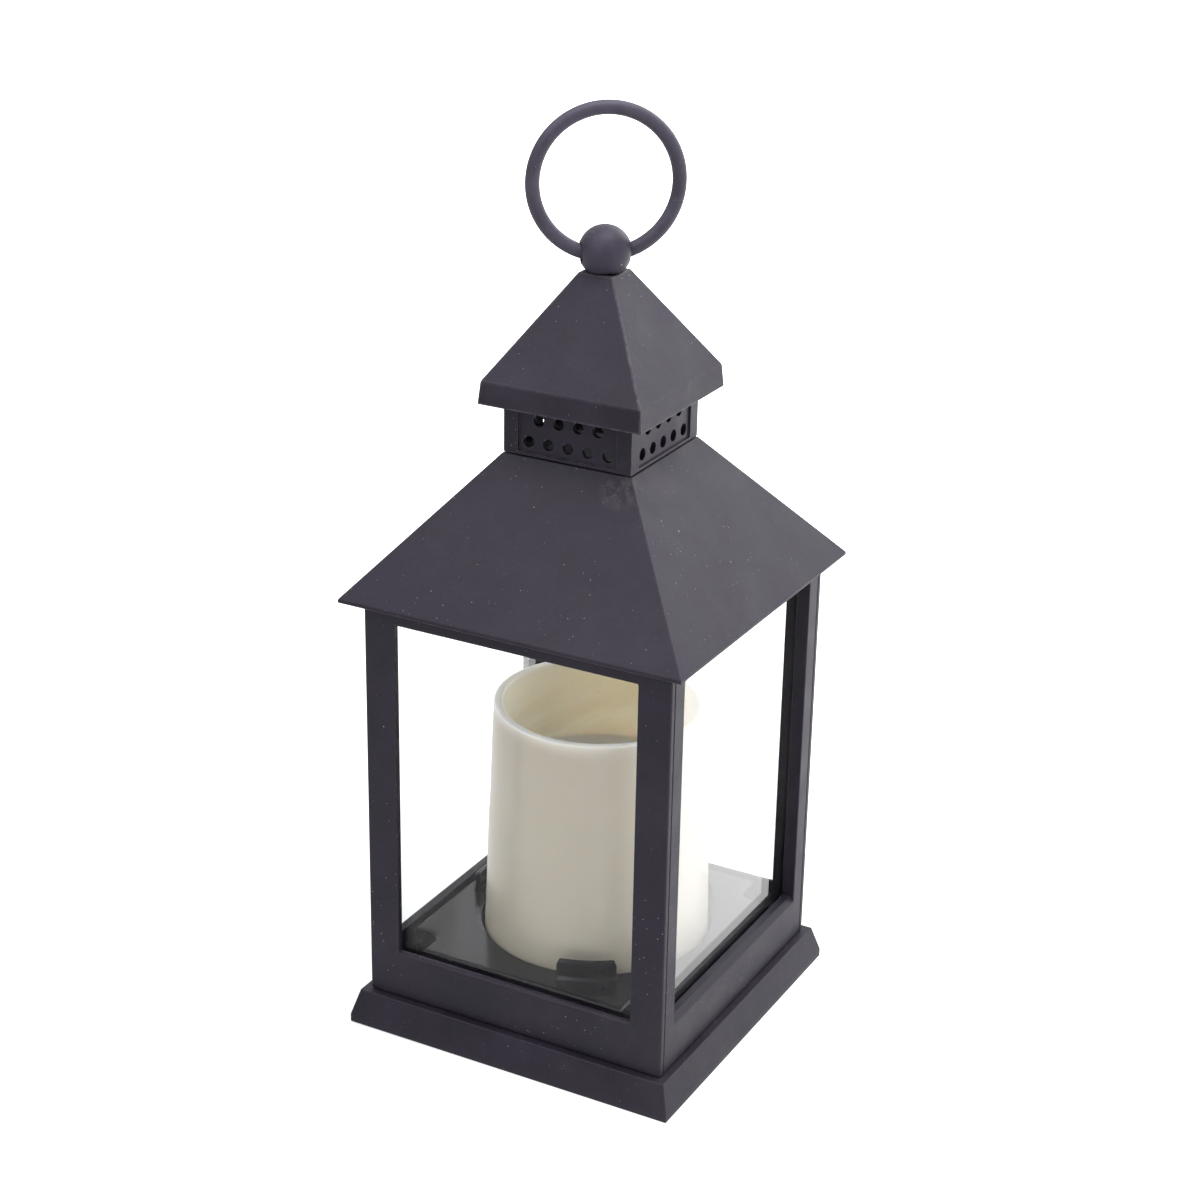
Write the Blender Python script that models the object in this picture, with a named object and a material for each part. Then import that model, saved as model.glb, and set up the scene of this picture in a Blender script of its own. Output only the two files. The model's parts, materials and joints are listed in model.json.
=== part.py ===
"""Battery candle lantern: a square glazed body, a hipped roof and a hanging ring.

Frame: +Z up, origin at the centre of the base's underside, metres.
-Y is the front window, +X the right one. Every sub-part is one object.
"""
import math

import bmesh
import bpy
from mathutils import Matrix, Vector

MM = 0.001
GAP = 0.3 * MM                      # clearance between touching pieces
ROUND = 40                          # sides of the large round shapes

# Base moulding
BASE_HALF = 52.5 * MM               # half width at the table
BASE_LIP = 2.5 * MM                 # height of the upright lip
BASE_TOP_HALF = 50.2 * MM
BASE_TOP_Z = 10.5 * MM
SKIRT_INNER_HALF = 50.9 * MM
SKIRT_INNER_TOP_HALF = 49.3 * MM
LEDGE_Z = 7.8 * MM                  # underside of the ledge inside the skirt
LEDGE_OPEN = 43.9 * MM
EAR_EDGE = 32.8 * MM                # the four ears fill the opening's corners
EAR_RADIUS = 4.2 * MM
EAR_HOLE_AT = 37.2 * MM
EAR_HOLE_R = 1.9 * MM
FLOOR_Z = 25.5 * MM                 # the raised floor inside the windows
FLOOR_HALF = (41.9 * MM, 43.4 * MM)
FLOOR_NOTCH = 33.0 * MM
FLOOR_EDGE = 1.2 * MM               # rounding of the floor's top edge
WALL = 1.5 * MM
LEDGE_SKIN = 1.2 * MM

# Base screws
SCREW_AT = 44.6 * MM
POCKET_OUTER_R = 5.8 * MM
POCKET_R = 4.5 * MM
POCKET_RIM_Z = 4.8 * MM
POCKET_FLOOR_Z = 8.9 * MM
SCREW_HEAD_R = 2.8 * MM
SCREW_HEAD_H = 2.0 * MM
SCREW_R = 1.3 * MM
SCREW_HOLE_R = 1.65 * MM
SCREW_TOP_Z = 19.0 * MM

# Glazed body
BODY_HALF = 47.94 * MM
FRONT_SKIN = 2.1 * MM               # front and back walls lap over the side walls
SIDE_SKIN = 4.0 * MM
BODY_TOP_Z = 133.1 * MM
FRONT_OPEN = 38.0 * MM
SIDE_OPEN = 40.0 * MM
SILL_Z = 25.3 * MM
HEAD_Z = 129.0 * MM
FRONT_SILL_CHAMFER = 0.9 * MM
SIDE_SILL_CHAMFER = 1.5 * MM
CORNER_ROUND = 0.7 * MM
BLOCK_FROM = 39.0 * MM              # side wall corner blocks take the base screws
BLOCK_TOP_Z = 20.2 * MM             # and carry the panes
PANE = 1.2 * MM
PANE_TOP_Z = 131.2 * MM
FRONT_PANE_HALF = 41.8 * MM
SIDE_PANE_HALF = 43.7 * MM

# Roof, vent and cap
EAVE_HALF = 53.1 * MM
EAVE_Z = (134.4 * MM, 135.4 * MM)
EAVE_STEP_HALF = 50.6 * MM
ROOF_TOP_HALF = 20.0 * MM
ROOF_TOP_Z = 174.5 * MM
ROOF_HOLE_HALF = 17.0 * MM
NECK_HALF = 19.8 * MM
NECK_TOP_Z = 192.6 * MM
NECK_FLANGE_HALF = 22.2 * MM
NECK_TONGUE = 3.2 * MM
VENT_PANEL_HALF = 15.2 * MM
VENT_RECESS = 0.6 * MM
VENT_PITCH = 6.1 * MM
VENT_R = 1.7 * MM
VENT_ROWS_Z = (178.7 * MM, 185.15 * MM)
VENT_ROW_COUNTS = (5, 4)
CAP_Z = (188.8 * MM, 195.3 * MM, 224.1 * MM)
CAP_HALF = (25.1 * MM, 24.5 * MM, 5.2 * MM)
CAP_SKIN = 1.5 * MM
CAP_CROWN = 2.3 * MM                # thickness of the cap under the ball

# Finial and ring
BALL_Z = 229.4 * MM
BALL_R = 7.3 * MM
RING_TURN = math.radians(38.0)      # heading of the ring's hinge axis from +X
RING_BORE_Z = 229.2 * MM
RING_BORE_R = 3.0 * MM
RING_R = 19.9 * MM
RING_WIRE_R = 2.0 * MM
RING_RISE = 19.1 * MM               # from the hinge axis to the ring's centre
SPIGOT_R = 3.0 * MM
SPIGOT_Z = CAP_Z[2] - CAP_CROWN - 0.4 * MM
FINIAL_HOLE_R = 1.3 * MM
FINIAL_HOLE_TOP_Z = BALL_Z - 3.7 * MM   # just short of the ring's bore
FINIAL_SCREW_R = 1.0 * MM
WASHER_R = 4.6 * MM

# Candle unit
UNIT_X = 1.1 * MM                   # the candle stands a little off the lantern's axis
UNIT_Y = 0.5 * MM
WELL_R = 34.4 * MM
TAB_ANGLES = (-64.0, 56.0, 176.0)
TAB_R = (36.6 * MM, 38.2 * MM)
TAB_HALF_ANGLE = 13.2
TAB_H = 6.0 * MM
HANGER_ANGLES = (112.0, 226.0, 302.0)
HANGER_HALF_ANGLE = 15.0
HANGER_LIP_R = 32.1 * MM
HOUSING_Z = 11.2 * MM
HOUSING_R = 33.0 * MM
HOUSING_SKIN = 1.6 * MM
DRUM_R = 31.6 * MM
DECK_Z = 27.0 * MM
DOOR_HALF_X = 26.7 * MM
DOOR_HALF_Y = 17.0 * MM
DOOR_LOBE = (27.1 * MM, 12.4 * MM, 2.7 * MM)
LATCH_X = 28.6 * MM
LATCH_HALF_Y = 4.4 * MM
BAY_HALF_X = 25.4 * MM
BAY_HALF_Y = 16.3 * MM
BAY_TOP_Z = 24.4 * MM
CELL_R = 5.2 * MM
CELL_L = 44.5 * MM
CELL_TIP_X = 24.3 * MM              # plus end, beside its contact plate
CELL_PITCH = 10.75 * MM
CELL_Z = 18.7 * MM
SWITCH_Y = -22.0 * MM
KNOB_HALF = (2.1 * MM, 1.4 * MM)
CANDLE_BOTTOM_Z = 13.1 * MM
CANDLE_R_LOW = 33.4 * MM
CANDLE_R_TOP = 31.1 * MM
CANDLE_TOP_Z = 97.8 * MM
CUP_FLOOR_Z = 72.0 * MM
LED_R = 2.5 * MM
WIRE_R = 0.35 * MM
WIRE_X = 0.9 * MM
WIRE_HOLE_Y = -21.0 * MM

BLACK = (0.030, 0.029, 0.033)
GREY = (0.10, 0.10, 0.105)
WAX = (0.82, 0.77, 0.66)
STEEL = (0.62, 0.62, 0.60)


def clear_scene():
    for thing in list(bpy.data.objects):
        bpy.data.objects.remove(thing, do_unlink=True)


def material(name, color, roughness, metallic=0.0, alpha=1.0):
    """A Principled material, made once for each name."""
    found = bpy.data.materials.get(name)
    if found:
        return found
    made = bpy.data.materials.new(name)
    made.use_nodes = True
    shader = made.node_tree.nodes["Principled BSDF"]
    shader.inputs["Base Color"].default_value = (*color, 1.0)
    shader.inputs["Roughness"].default_value = roughness
    shader.inputs["Metallic"].default_value = metallic
    shader.inputs["Alpha"].default_value = alpha
    return made


# ---------------------------------------------------------------- mesh tools

def add_loops(bm, loops, closed=False):
    """Skin a stack of matching point loops; cap both ends unless closed."""
    rings = [[bm.verts.new(p) for p in loop] for loop in loops]
    pairs = list(zip(rings, rings[1:]))
    if closed:
        pairs.append((rings[-1], rings[0]))
    count = len(rings[0])
    for low, high in pairs:
        for i in range(count):
            j = (i + 1) % count
            bm.faces.new((low[i], low[j], high[j], high[i]))
    if not closed:
        bm.faces.new(list(reversed(rings[0])))
        bm.faces.new(rings[-1])


def box(bm, low, high):
    x0, y0, z0 = low
    x1, y1, z1 = high
    outline = [(x0, y0), (x1, y0), (x1, y1), (x0, y1)]
    prism(bm, outline, z0, z1)


def prism(bm, outline, z0, z1):
    add_loops(bm, [[(x, y, z) for x, y in outline] for z in (z0, z1)])


def square_outline(half_x, half_y=None):
    half_y = half_x if half_y is None else half_y
    return [(-half_x, -half_y), (half_x, -half_y), (half_x, half_y), (-half_x, half_y)]


def square_stack(bm, levels):
    """A closed square body from (half width, z) levels, bottom to top."""
    add_loops(bm, [[(x, y, z) for x, y in square_outline(half)] for half, z in levels])


def square_ring(bm, profile):
    """A closed square frame whose section is the (half width, z) profile."""
    add_loops(bm, [[(x, y, z) for x, y in square_outline(half)] for half, z in profile], True)


def circle(radius, count, centre=(0.0, 0.0), start=0.0):
    step = 2 * math.pi / count
    return [(centre[0] + radius * math.cos(start + i * step),
             centre[1] + radius * math.sin(start + i * step)) for i in range(count)]


def turned(bm, profile, count, centre=(0.0, 0.0), closed=False):
    """A turned body about +Z from (radius, z) points, bottom to top."""
    loops = [[(x, y, z) for x, y in circle(r, count, centre)] for r, z in profile]
    add_loops(bm, loops, closed)


def cylinder(bm, centre, radius, z0, z1, count=16):
    turned(bm, [(radius, z0), (radius, z1)], count, centre)


def arc_block(bm, radii, angle, half_angle, z0, z1, steps=4):
    """A curved block between two radii, centred on an angle in degrees."""
    sweep = [math.radians(angle - half_angle + 2 * half_angle * i / steps) for i in range(steps + 1)]
    outer = [(radii[1] * math.cos(a), radii[1] * math.sin(a)) for a in sweep]
    inner = [(radii[0] * math.cos(a), radii[0] * math.sin(a)) for a in reversed(sweep)]
    prism(bm, outer + inner, z0, z1)


def plus_outline(half_x, half_y, notch, radius, steps=3):
    """A rectangle less its four corners; each notch's inner corner is rounded."""
    points = []
    for sx, sy in ((1, 1), (-1, 1), (-1, -1), (1, -1)):
        arc = [math.pi * (1.0 + 0.5 * (1.0 - i / steps)) for i in range(steps + 1)]
        middle = notch + radius
        corner = [(half_x, notch)]
        corner += [(middle + radius * math.cos(a), middle + radius * math.sin(a)) for a in arc]
        corner.append((notch, half_y))
        placed = [(sx * x, sy * y) for x, y in corner]
        points += placed if sx == sy else list(reversed(placed))
    return points


def plus_stack(bm, levels, radius):
    """A closed body of plus outlines from (half x, half y, notch, z) levels."""
    add_loops(bm, [[(x, y, z) for x, y in plus_outline(half_x, half_y, notch, radius)]
                   for half_x, half_y, notch, z in levels])


def finish(name, bm, mat, location=(0.0, 0.0, 0.0), smooth=True):
    bmesh.ops.recalc_face_normals(bm, faces=bm.faces)
    mesh = bpy.data.meshes.new(name)
    bm.to_mesh(mesh)
    bm.free()
    mesh.materials.append(mat)
    if smooth:
        mesh.shade_smooth()
        mesh.set_sharp_from_angle(angle=math.radians(35))
    made = bpy.data.objects.new(name, mesh)
    made.location = location
    bpy.context.scene.collection.objects.link(made)
    return made


def combine(target, build, operation):
    """Apply one Boolean to target with the body that build(bm) makes."""
    bm = bmesh.new()
    build(bm)
    tool = finish("tool", bm, target.data.materials[0])
    tool.location = target.location
    tool.display_type = "WIRE"
    tool.hide_render = True
    step = target.modifiers.new("step", "BOOLEAN")
    step.operation = operation
    step.solver = "EXACT"
    step.object = tool
    bpy.context.view_layer.update()
    graph = bpy.context.evaluated_depsgraph_get()
    result = bpy.data.meshes.new_from_object(target.evaluated_get(graph))
    target.modifiers.clear()
    target.data = result
    bpy.data.objects.remove(tool, do_unlink=True)


def cut(target, build):
    combine(target, build, "DIFFERENCE")


def join(target, build):
    combine(target, build, "UNION")


def corners(at):
    return [(sx * at, sy * at) for sx in (-1, 1) for sy in (-1, 1)]


def ride(child, parent):
    """Parent a piece that was modelled in world space to an axis empty."""
    child.parent = parent
    child.matrix_parent_inverse = parent.matrix_world.inverted()


def axis_empty(name, location, turn=0.0):
    made = bpy.data.objects.new(name, None)
    made.location = location
    made.rotation_euler = (0.0, 0.0, turn)
    bpy.context.scene.collection.objects.link(made)
    bpy.context.view_layer.update()
    return made


# ------------------------------------------------------------------- the base

def make_base(mat):
    """Skirt, ledge, ears, raised floor, candle well and retaining tabs."""
    bm = bmesh.new()
    square_stack(bm, [(BASE_HALF, 0.0), (BASE_HALF, BASE_LIP), (BASE_TOP_HALF, BASE_TOP_Z)])
    base = finish("base_tray", bm, mat)
    half_x, half_y = FLOOR_HALF

    def raised_floor(bm):
        levels = [(0.0, BASE_TOP_Z - 0.5 * MM), (0.0, FLOOR_Z - FLOOR_EDGE),
                  (0.3 * FLOOR_EDGE, FLOOR_Z - 0.3 * FLOOR_EDGE), (FLOOR_EDGE, FLOOR_Z)]
        plus_stack(bm, [(half_x - inset, half_y - inset, FLOOR_NOTCH - inset, z)
                        for inset, z in levels], EAR_RADIUS)
    join(base, raised_floor)

    def skirt_cavity(bm):
        square_stack(bm, [(SKIRT_INNER_HALF, -MM), (SKIRT_INNER_HALF, 0.2 * MM),
                          (SKIRT_INNER_TOP_HALF, LEDGE_Z)])
    cut(base, skirt_cavity)

    def underside_hollow(bm):
        ledge_top = BASE_TOP_Z - LEDGE_SKIN
        mouth = (LEDGE_OPEN, LEDGE_OPEN, EAR_EDGE)
        room = (half_x - WALL, half_y - WALL, FLOOR_NOTCH - WALL)
        plus_stack(bm, [(*mouth, 0.0), (*mouth, ledge_top), (*room, ledge_top + 0.1 * MM),
                        (*room, FLOOR_Z - WALL)], EAR_RADIUS)
    cut(base, underside_hollow)

    collar_z = (FLOOR_Z - 5.5 * MM, FLOOR_Z - 0.5 * MM)
    lip_z = (HOUSING_Z - 1.4 * MM, HOUSING_Z - GAP)
    collar_r = WELL_R + WALL
    join(base, lambda bm: cylinder(bm, (UNIT_X, UNIT_Y), collar_r, *collar_z, ROUND))
    for angle in HANGER_ANGLES:
        join(base, lambda bm: unit_arc(bm, (WELL_R - 0.4 * MM, collar_r - 0.2 * MM), angle,
                                       HANGER_HALF_ANGLE, lip_z[0] + 0.3 * MM,
                                       collar_z[0] + 0.5 * MM))
    cut(base, lambda bm: cylinder(bm, (UNIT_X, UNIT_Y), WELL_R, lip_z[0] - MM, FLOOR_Z + MM,
                                  ROUND))
    for angle in HANGER_ANGLES:
        join(base, lambda bm: unit_arc(bm, (HANGER_LIP_R, collar_r - 0.5 * MM), angle,
                                       HANGER_HALF_ANGLE - 0.5, *lip_z))
    for angle in TAB_ANGLES:
        join(base, lambda bm: retaining_tab(bm, angle))
    for at in corners(SCREW_AT):
        join(base, lambda bm: cylinder(bm, at, POCKET_OUTER_R, POCKET_RIM_Z, LEDGE_Z + 0.5 * MM))
    for at in corners(SCREW_AT):
        cut(base, lambda bm: turned(bm, [(POCKET_R, 0.0), (POCKET_R, POCKET_FLOOR_Z),
                                         (SCREW_HOLE_R, POCKET_FLOOR_Z),
                                         (SCREW_HOLE_R, BASE_TOP_Z + MM)], 16, at))
    for at in corners(EAR_HOLE_AT):
        cut(base, lambda bm: cylinder(bm, at, EAR_HOLE_R, 0.0, BASE_TOP_Z + MM, 12))


def unit_arc(bm, radii, angle, half_angle, z0, z1):
    arc_block(bm, radii, angle, half_angle, z0, z1)
    bmesh.ops.translate(bm, verts=bm.verts, vec=(UNIT_X, UNIT_Y, 0.0))


def retaining_tab(bm, angle):
    """An upright tab with a foot bead, its top corners taken off."""
    foot = FLOOR_Z - 0.5 * MM
    top = FLOOR_Z + TAB_H
    shoulder = top - 1.2 * MM
    steps = 5
    inner, outer = TAB_R
    sweep = [-1 + 2 * i / steps for i in range(steps + 1)]
    loops = []
    for z, spread, swell in ((foot, 1.0, 0.9 * MM), (FLOOR_Z + 0.5 * MM, 1.0, 0.9 * MM),
                             (FLOOR_Z + 1.3 * MM, 1.0, 0.0), (shoulder, 1.0, 0.0),
                             (top - 0.4 * MM, 0.96, 0.0), (top, 0.90, -0.25 * MM)):
        span = [math.radians(angle + TAB_HALF_ANGLE * spread * s) for s in sweep]
        loop = [((outer + swell) * math.cos(a), (outer + swell) * math.sin(a), z) for a in span]
        loop += [((inner - min(swell, 0)) * math.cos(a), (inner - min(swell, 0)) * math.sin(a), z)
                 for a in reversed(span)]
        loops.append(loop)
    add_loops(bm, loops)


def phillips_screw(bm, at, head_z, head_r, head_h, shank_r, top_z):
    """A pan-head screw, head down, its point up."""
    turned(bm, [(head_r * 0.80, head_z), (head_r * 0.95, head_z + 0.3 * head_h),
                (head_r, head_z + 0.6 * head_h), (head_r, head_z + head_h),
                (shank_r, head_z + head_h), (shank_r, top_z - 1.5 * shank_r),
                (0.3 * shank_r, top_z)], 14, at)


def cross_recess(bm, at, head_z, reach, depth):
    """The cross-shaped driver recess as one twelve-sided prism."""
    x, y = at
    arm = 0.32 * reach
    outline = []
    for turn in range(4):
        c, s = round(math.cos(turn * math.pi / 2)), round(math.sin(turn * math.pi / 2))
        for u, v in ((arm, -reach), (arm, -arm), (reach, -arm)):
            outline.append((x + u * c - v * s, y + u * s + v * c))
    prism(bm, outline, head_z - 0.2 * MM, head_z + depth)


def make_base_screws(mat):
    head_z = POCKET_FLOOR_Z - GAP - SCREW_HEAD_H
    for index, at in enumerate(corners(SCREW_AT)):
        bm = bmesh.new()
        phillips_screw(bm, at, head_z, SCREW_HEAD_R, SCREW_HEAD_H, SCREW_R, SCREW_TOP_Z)
        screw = finish("base_screw_%d" % (index + 1), bm, mat)
        cut(screw, lambda bm: cross_recess(bm, at, head_z, 1.6 * MM, 1.1 * MM))


# ------------------------------------------------------------ body and panes

def rounded_bar_outline(x, y0, y1, radius, steps=3):
    """A bar outline symmetric in X whose corners at y0 are rounded."""
    points = [(x, y1), (-x, y1)]
    for side, start in ((-1, math.pi), (1, 1.5 * math.pi)):
        for i in range(steps + 1):
            a = start + math.pi / 2 * i / steps
            points.append((side * (x - radius) + radius * math.cos(a),
                           y0 + radius + radius * math.sin(a)))
    return points


def wall_window(bm, half, outer, skin, chamfer):
    """The window cutter of a wall facing -Y, with a sloping outer sill."""
    outward = outer - MM
    inward = outer + skin + MM
    sill = [(outward, SILL_Z - chamfer - MM), (outer + chamfer, SILL_Z), (inward, SILL_Z),
            (inward, HEAD_Z), (outward, HEAD_Z)]
    add_loops(bm, [[(x, y, z) for y, z in sill] for x in (-half, half)])


def screw_holes(bm):
    for at in corners(SCREW_AT):
        cylinder(bm, at, SCREW_HOLE_R, BASE_TOP_Z - MM, BLOCK_TOP_Z + 0.2 * MM, 12)


def turn_about_z(thing, degrees):
    thing.data.transform(Matrix.Rotation(math.radians(degrees), 4, "Z"))


def make_lapping_wall(name, degrees, mat):
    """Front or back wall: a full-width frame that laps over the side walls."""
    outline = rounded_bar_outline(BODY_HALF, -BODY_HALF, FRONT_SKIN - BODY_HALF, CORNER_ROUND)
    bm = bmesh.new()
    prism(bm, outline, BASE_TOP_Z + GAP, BODY_TOP_Z)
    wall = finish(name, bm, mat)
    cut(wall, lambda bm: wall_window(bm, FRONT_OPEN, -BODY_HALF, FRONT_SKIN, FRONT_SILL_CHAMFER))
    cut(wall, screw_holes)
    turn_about_z(wall, degrees)


def make_side_wall(name, degrees, mat):
    """Left or right wall: it fits between the lapping walls and has corner blocks."""
    z0 = BASE_TOP_Z + GAP
    reach = BODY_HALF - FRONT_SKIN - GAP
    inner = SIDE_SKIN - BODY_HALF
    bm = bmesh.new()
    box(bm, (-reach, -BODY_HALF, z0), (reach, inner, BODY_TOP_Z))
    wall = finish(name, bm, mat)
    cut(wall, lambda bm: wall_window(bm, SIDE_OPEN, -BODY_HALF, SIDE_SKIN, SIDE_SILL_CHAMFER))
    for side in (-1, 1):
        low, high = sorted((side * BLOCK_FROM, side * reach))
        join(wall, lambda bm: box(bm, (low, inner - MM, z0), (high, -BLOCK_FROM, BLOCK_TOP_Z)))
    cut(wall, screw_holes)
    turn_about_z(wall, degrees)


def make_panes(mat):
    """Four clear panes that stand on the corner blocks."""
    z0 = BLOCK_TOP_Z + GAP
    front_face = BODY_HALF - FRONT_SKIN - GAP
    side_face = BODY_HALF - SIDE_SKIN - GAP
    for name, side in (("pane_front", -1), ("pane_back", 1)):
        y0, y1 = sorted((side * front_face, side * (front_face - PANE)))
        bm = bmesh.new()
        box(bm, (-FRONT_PANE_HALF, y0, z0), (FRONT_PANE_HALF, y1, PANE_TOP_Z))
        finish(name, bm, mat, smooth=False)
    for name, side in (("pane_left", -1), ("pane_right", 1)):
        x0, x1 = sorted((side * side_face, side * (side_face - PANE)))
        bm = bmesh.new()
        box(bm, (x0, -SIDE_PANE_HALF, z0), (x1, SIDE_PANE_HALF, PANE_TOP_Z))
        finish(name, bm, mat, smooth=False)


# ------------------------------------------------------- roof, vent and cap

def make_roof(mat):
    """Hipped roof shell with a thin eave lip, a step and a locating collar."""
    slope = (ROOF_TOP_Z - EAVE_Z[1]) / (EAVE_HALF - ROOF_TOP_HALF)
    drop = 1.8 * MM * math.sqrt(1 + slope * slope)
    flange_top = EAVE_Z[1] + 0.4 * MM
    seat = BODY_TOP_Z + GAP
    ceiling_half = 41.0 * MM
    under_top = ROOF_TOP_Z - 2.2 * MM

    def under(z):
        """Half width of the roof's inner face at height z."""
        return ROOF_TOP_HALF + (ROOF_TOP_Z - drop - z) / slope
    bm = bmesh.new()
    square_ring(bm, [(EAVE_HALF, EAVE_Z[0]), (EAVE_HALF, EAVE_Z[1]), (ROOF_TOP_HALF, ROOF_TOP_Z),
                     (ROOF_HOLE_HALF, ROOF_TOP_Z), (ROOF_HOLE_HALF, under_top),
                     (under(under_top), under_top), (under(flange_top), flange_top),
                     (ceiling_half, flange_top), (ceiling_half, seat), (EAVE_STEP_HALF, seat),
                     (EAVE_STEP_HALF, EAVE_Z[0])])
    roof = finish("roof", bm, mat)
    collar_z = PANE_TOP_Z + 0.4 * MM
    collar_x = BODY_HALF - SIDE_SKIN - GAP
    collar_y = BODY_HALF - FRONT_SKIN - GAP
    join(roof, lambda bm: box(bm, (-collar_x, -collar_y, collar_z), (collar_x, collar_y, seat + MM)))
    cut(roof, lambda bm: box(bm, (-ceiling_half, -ceiling_half, collar_z - MM),
                             (ceiling_half, ceiling_half, flange_top + 0.2 * MM)))


def make_vent_neck(mat):
    """Square chimney with four perforated panels, a tongue and a top flange."""
    foot = ROOF_TOP_Z + GAP
    tongue = ROOF_HOLE_HALF - GAP
    bore = tongue - WALL
    flange_z = NECK_TOP_Z
    bm = bmesh.new()
    square_ring(bm, [(tongue, foot - NECK_TONGUE), (tongue, foot), (NECK_HALF, foot),
                     (NECK_HALF, flange_z), (NECK_FLANGE_HALF, flange_z),
                     (NECK_FLANGE_HALF, flange_z + 1.4 * MM), (bore, flange_z + 1.4 * MM),
                     (bore, foot - NECK_TONGUE)])
    neck = finish("vent_neck", bm, mat)
    skin = 1.6 * MM
    inner = NECK_HALF - VENT_RECESS - skin

    def thin_panels(bm):
        """Clears the inside behind the panels, leaving the corner posts."""
        square_stack(bm, [(inner, foot + 1.4 * MM), (inner, flange_z - 1.2 * MM)])
    cut(neck, thin_panels)
    for degrees in (0, 90, 180, 270):
        cut(neck, lambda bm: panel_recess(bm, degrees, foot, flange_z))
    for degrees in (0, 90):
        cut(neck, lambda bm: vent_drills(bm, degrees))


def panel_recess(bm, degrees, foot, top):
    box(bm, (-VENT_PANEL_HALF, -NECK_HALF - MM, foot + 0.9 * MM),
        (VENT_PANEL_HALF, -NECK_HALF + VENT_RECESS, top - 1.0 * MM))
    bmesh.ops.rotate(bm, verts=bm.verts, matrix=Matrix.Rotation(math.radians(degrees), 3, "Z"))


def vent_drills(bm, degrees):
    """Round drills through both panels that face one way."""
    for z, count in zip(VENT_ROWS_Z, VENT_ROW_COUNTS):
        for i in range(count):
            x = (i - (count - 1) / 2) * VENT_PITCH
            loop = circle(VENT_R, 8, (x, z), math.pi / 8)
            reach = NECK_HALF + MM
            add_loops(bm, [[(u, y, v) for u, v in loop] for y in (-reach, reach)])
    bmesh.ops.rotate(bm, verts=bm.verts, matrix=Matrix.Rotation(math.radians(degrees), 3, "Z"))


def make_cap(mat):
    """Pyramid cap with an upright fascia and a hole for the finial's spigot."""
    bm = bmesh.new()
    square_stack(bm, list(zip(CAP_HALF, CAP_Z)))
    cap = finish("cap", bm, mat)
    cut(cap, lambda bm: square_stack(bm, [(CAP_HALF[0] - CAP_SKIN, CAP_Z[0] - MM),
                                          (CAP_HALF[1] - CAP_SKIN, CAP_Z[1] - 0.8 * MM),
                                          (WASHER_R + 0.4 * MM, CAP_Z[2] - CAP_CROWN)]))
    cut(cap, lambda bm: cylinder(bm, (0, 0), SPIGOT_R + GAP, CAP_Z[2] - 6 * MM, CAP_Z[2] + MM, 20))


# --------------------------------------------------------- finial and ring

def make_finial(mat, steel, pivot):
    """Ball on a spigot, cross-bored for the ring, with its retaining screw."""
    seat = CAP_Z[2] + GAP
    start = math.acos((BALL_Z - seat) / BALL_R)
    rings = 8
    profile = [(SPIGOT_R, SPIGOT_Z), (SPIGOT_R, seat)]
    for i in range(rings):
        a = start + (math.pi - start) * i / rings
        profile.append((BALL_R * math.sin(a), BALL_Z - BALL_R * math.cos(a)))
    profile.append((0.35 * MM, BALL_Z + BALL_R - 0.05 * MM))
    bm = bmesh.new()
    turned(bm, profile, 24)
    ball = finish("finial_ball", bm, mat)

    def ring_bore(bm):
        loop = circle(RING_BORE_R, 16, (0.0, RING_BORE_Z))
        reach = BALL_R + MM
        add_loops(bm, [[(x, y, z) for y, z in loop] for x in (-reach, reach)])
        bmesh.ops.rotate(bm, verts=bm.verts, matrix=Matrix.Rotation(RING_TURN, 3, "Z"))
    cut(ball, ring_bore)
    cut(ball, lambda bm: cylinder(bm, (0, 0), FINIAL_HOLE_R, SPIGOT_Z - MM, FINIAL_HOLE_TOP_Z, 12))
    ride(ball, pivot)

    head_top = SPIGOT_Z - GAP
    bm = bmesh.new()
    turned(bm, [(2.2 * MM, head_top - 2.6 * MM), (2.6 * MM, head_top - 2.2 * MM),
                (2.6 * MM, head_top - 1.0 * MM), (WASHER_R, head_top - 1.0 * MM),
                (WASHER_R, head_top), (FINIAL_SCREW_R, head_top),
                (FINIAL_SCREW_R, FINIAL_HOLE_TOP_Z - 0.5 * MM)], 16)
    screw = finish("finial_screw", bm, steel)
    cut(screw, lambda bm: cross_recess(bm, (0, 0), head_top - 2.6 * MM, 1.4 * MM, 1.0 * MM))
    ride(screw, pivot)


def make_ring(mat, pivot):
    """Round wire ring that hangs in the ball's bore."""
    major, minor = 40, 10
    bm = bmesh.new()
    loops = []
    for i in range(major):
        a = 2 * math.pi * i / major
        out = Vector((math.cos(a), 0.0, math.sin(a)))
        middle = out * RING_R + Vector((0.0, 0.0, RING_BORE_Z + RING_RISE))
        loop = []
        for j in range(minor):
            b = 2 * math.pi * j / minor
            loop.append(middle + out * (RING_WIRE_R * math.cos(b))
                        + Vector((0.0, RING_WIRE_R * math.sin(b), 0.0)))
        loops.append(loop)
    add_loops(bm, loops, True)
    bmesh.ops.rotate(bm, verts=bm.verts, matrix=Matrix.Rotation(RING_TURN, 3, "Z"))
    ride(finish("hanging_ring", bm, mat), pivot)


# ---------------------------------------------------------------- candle unit

UNIT = (UNIT_X, UNIT_Y, 0.0)


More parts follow.
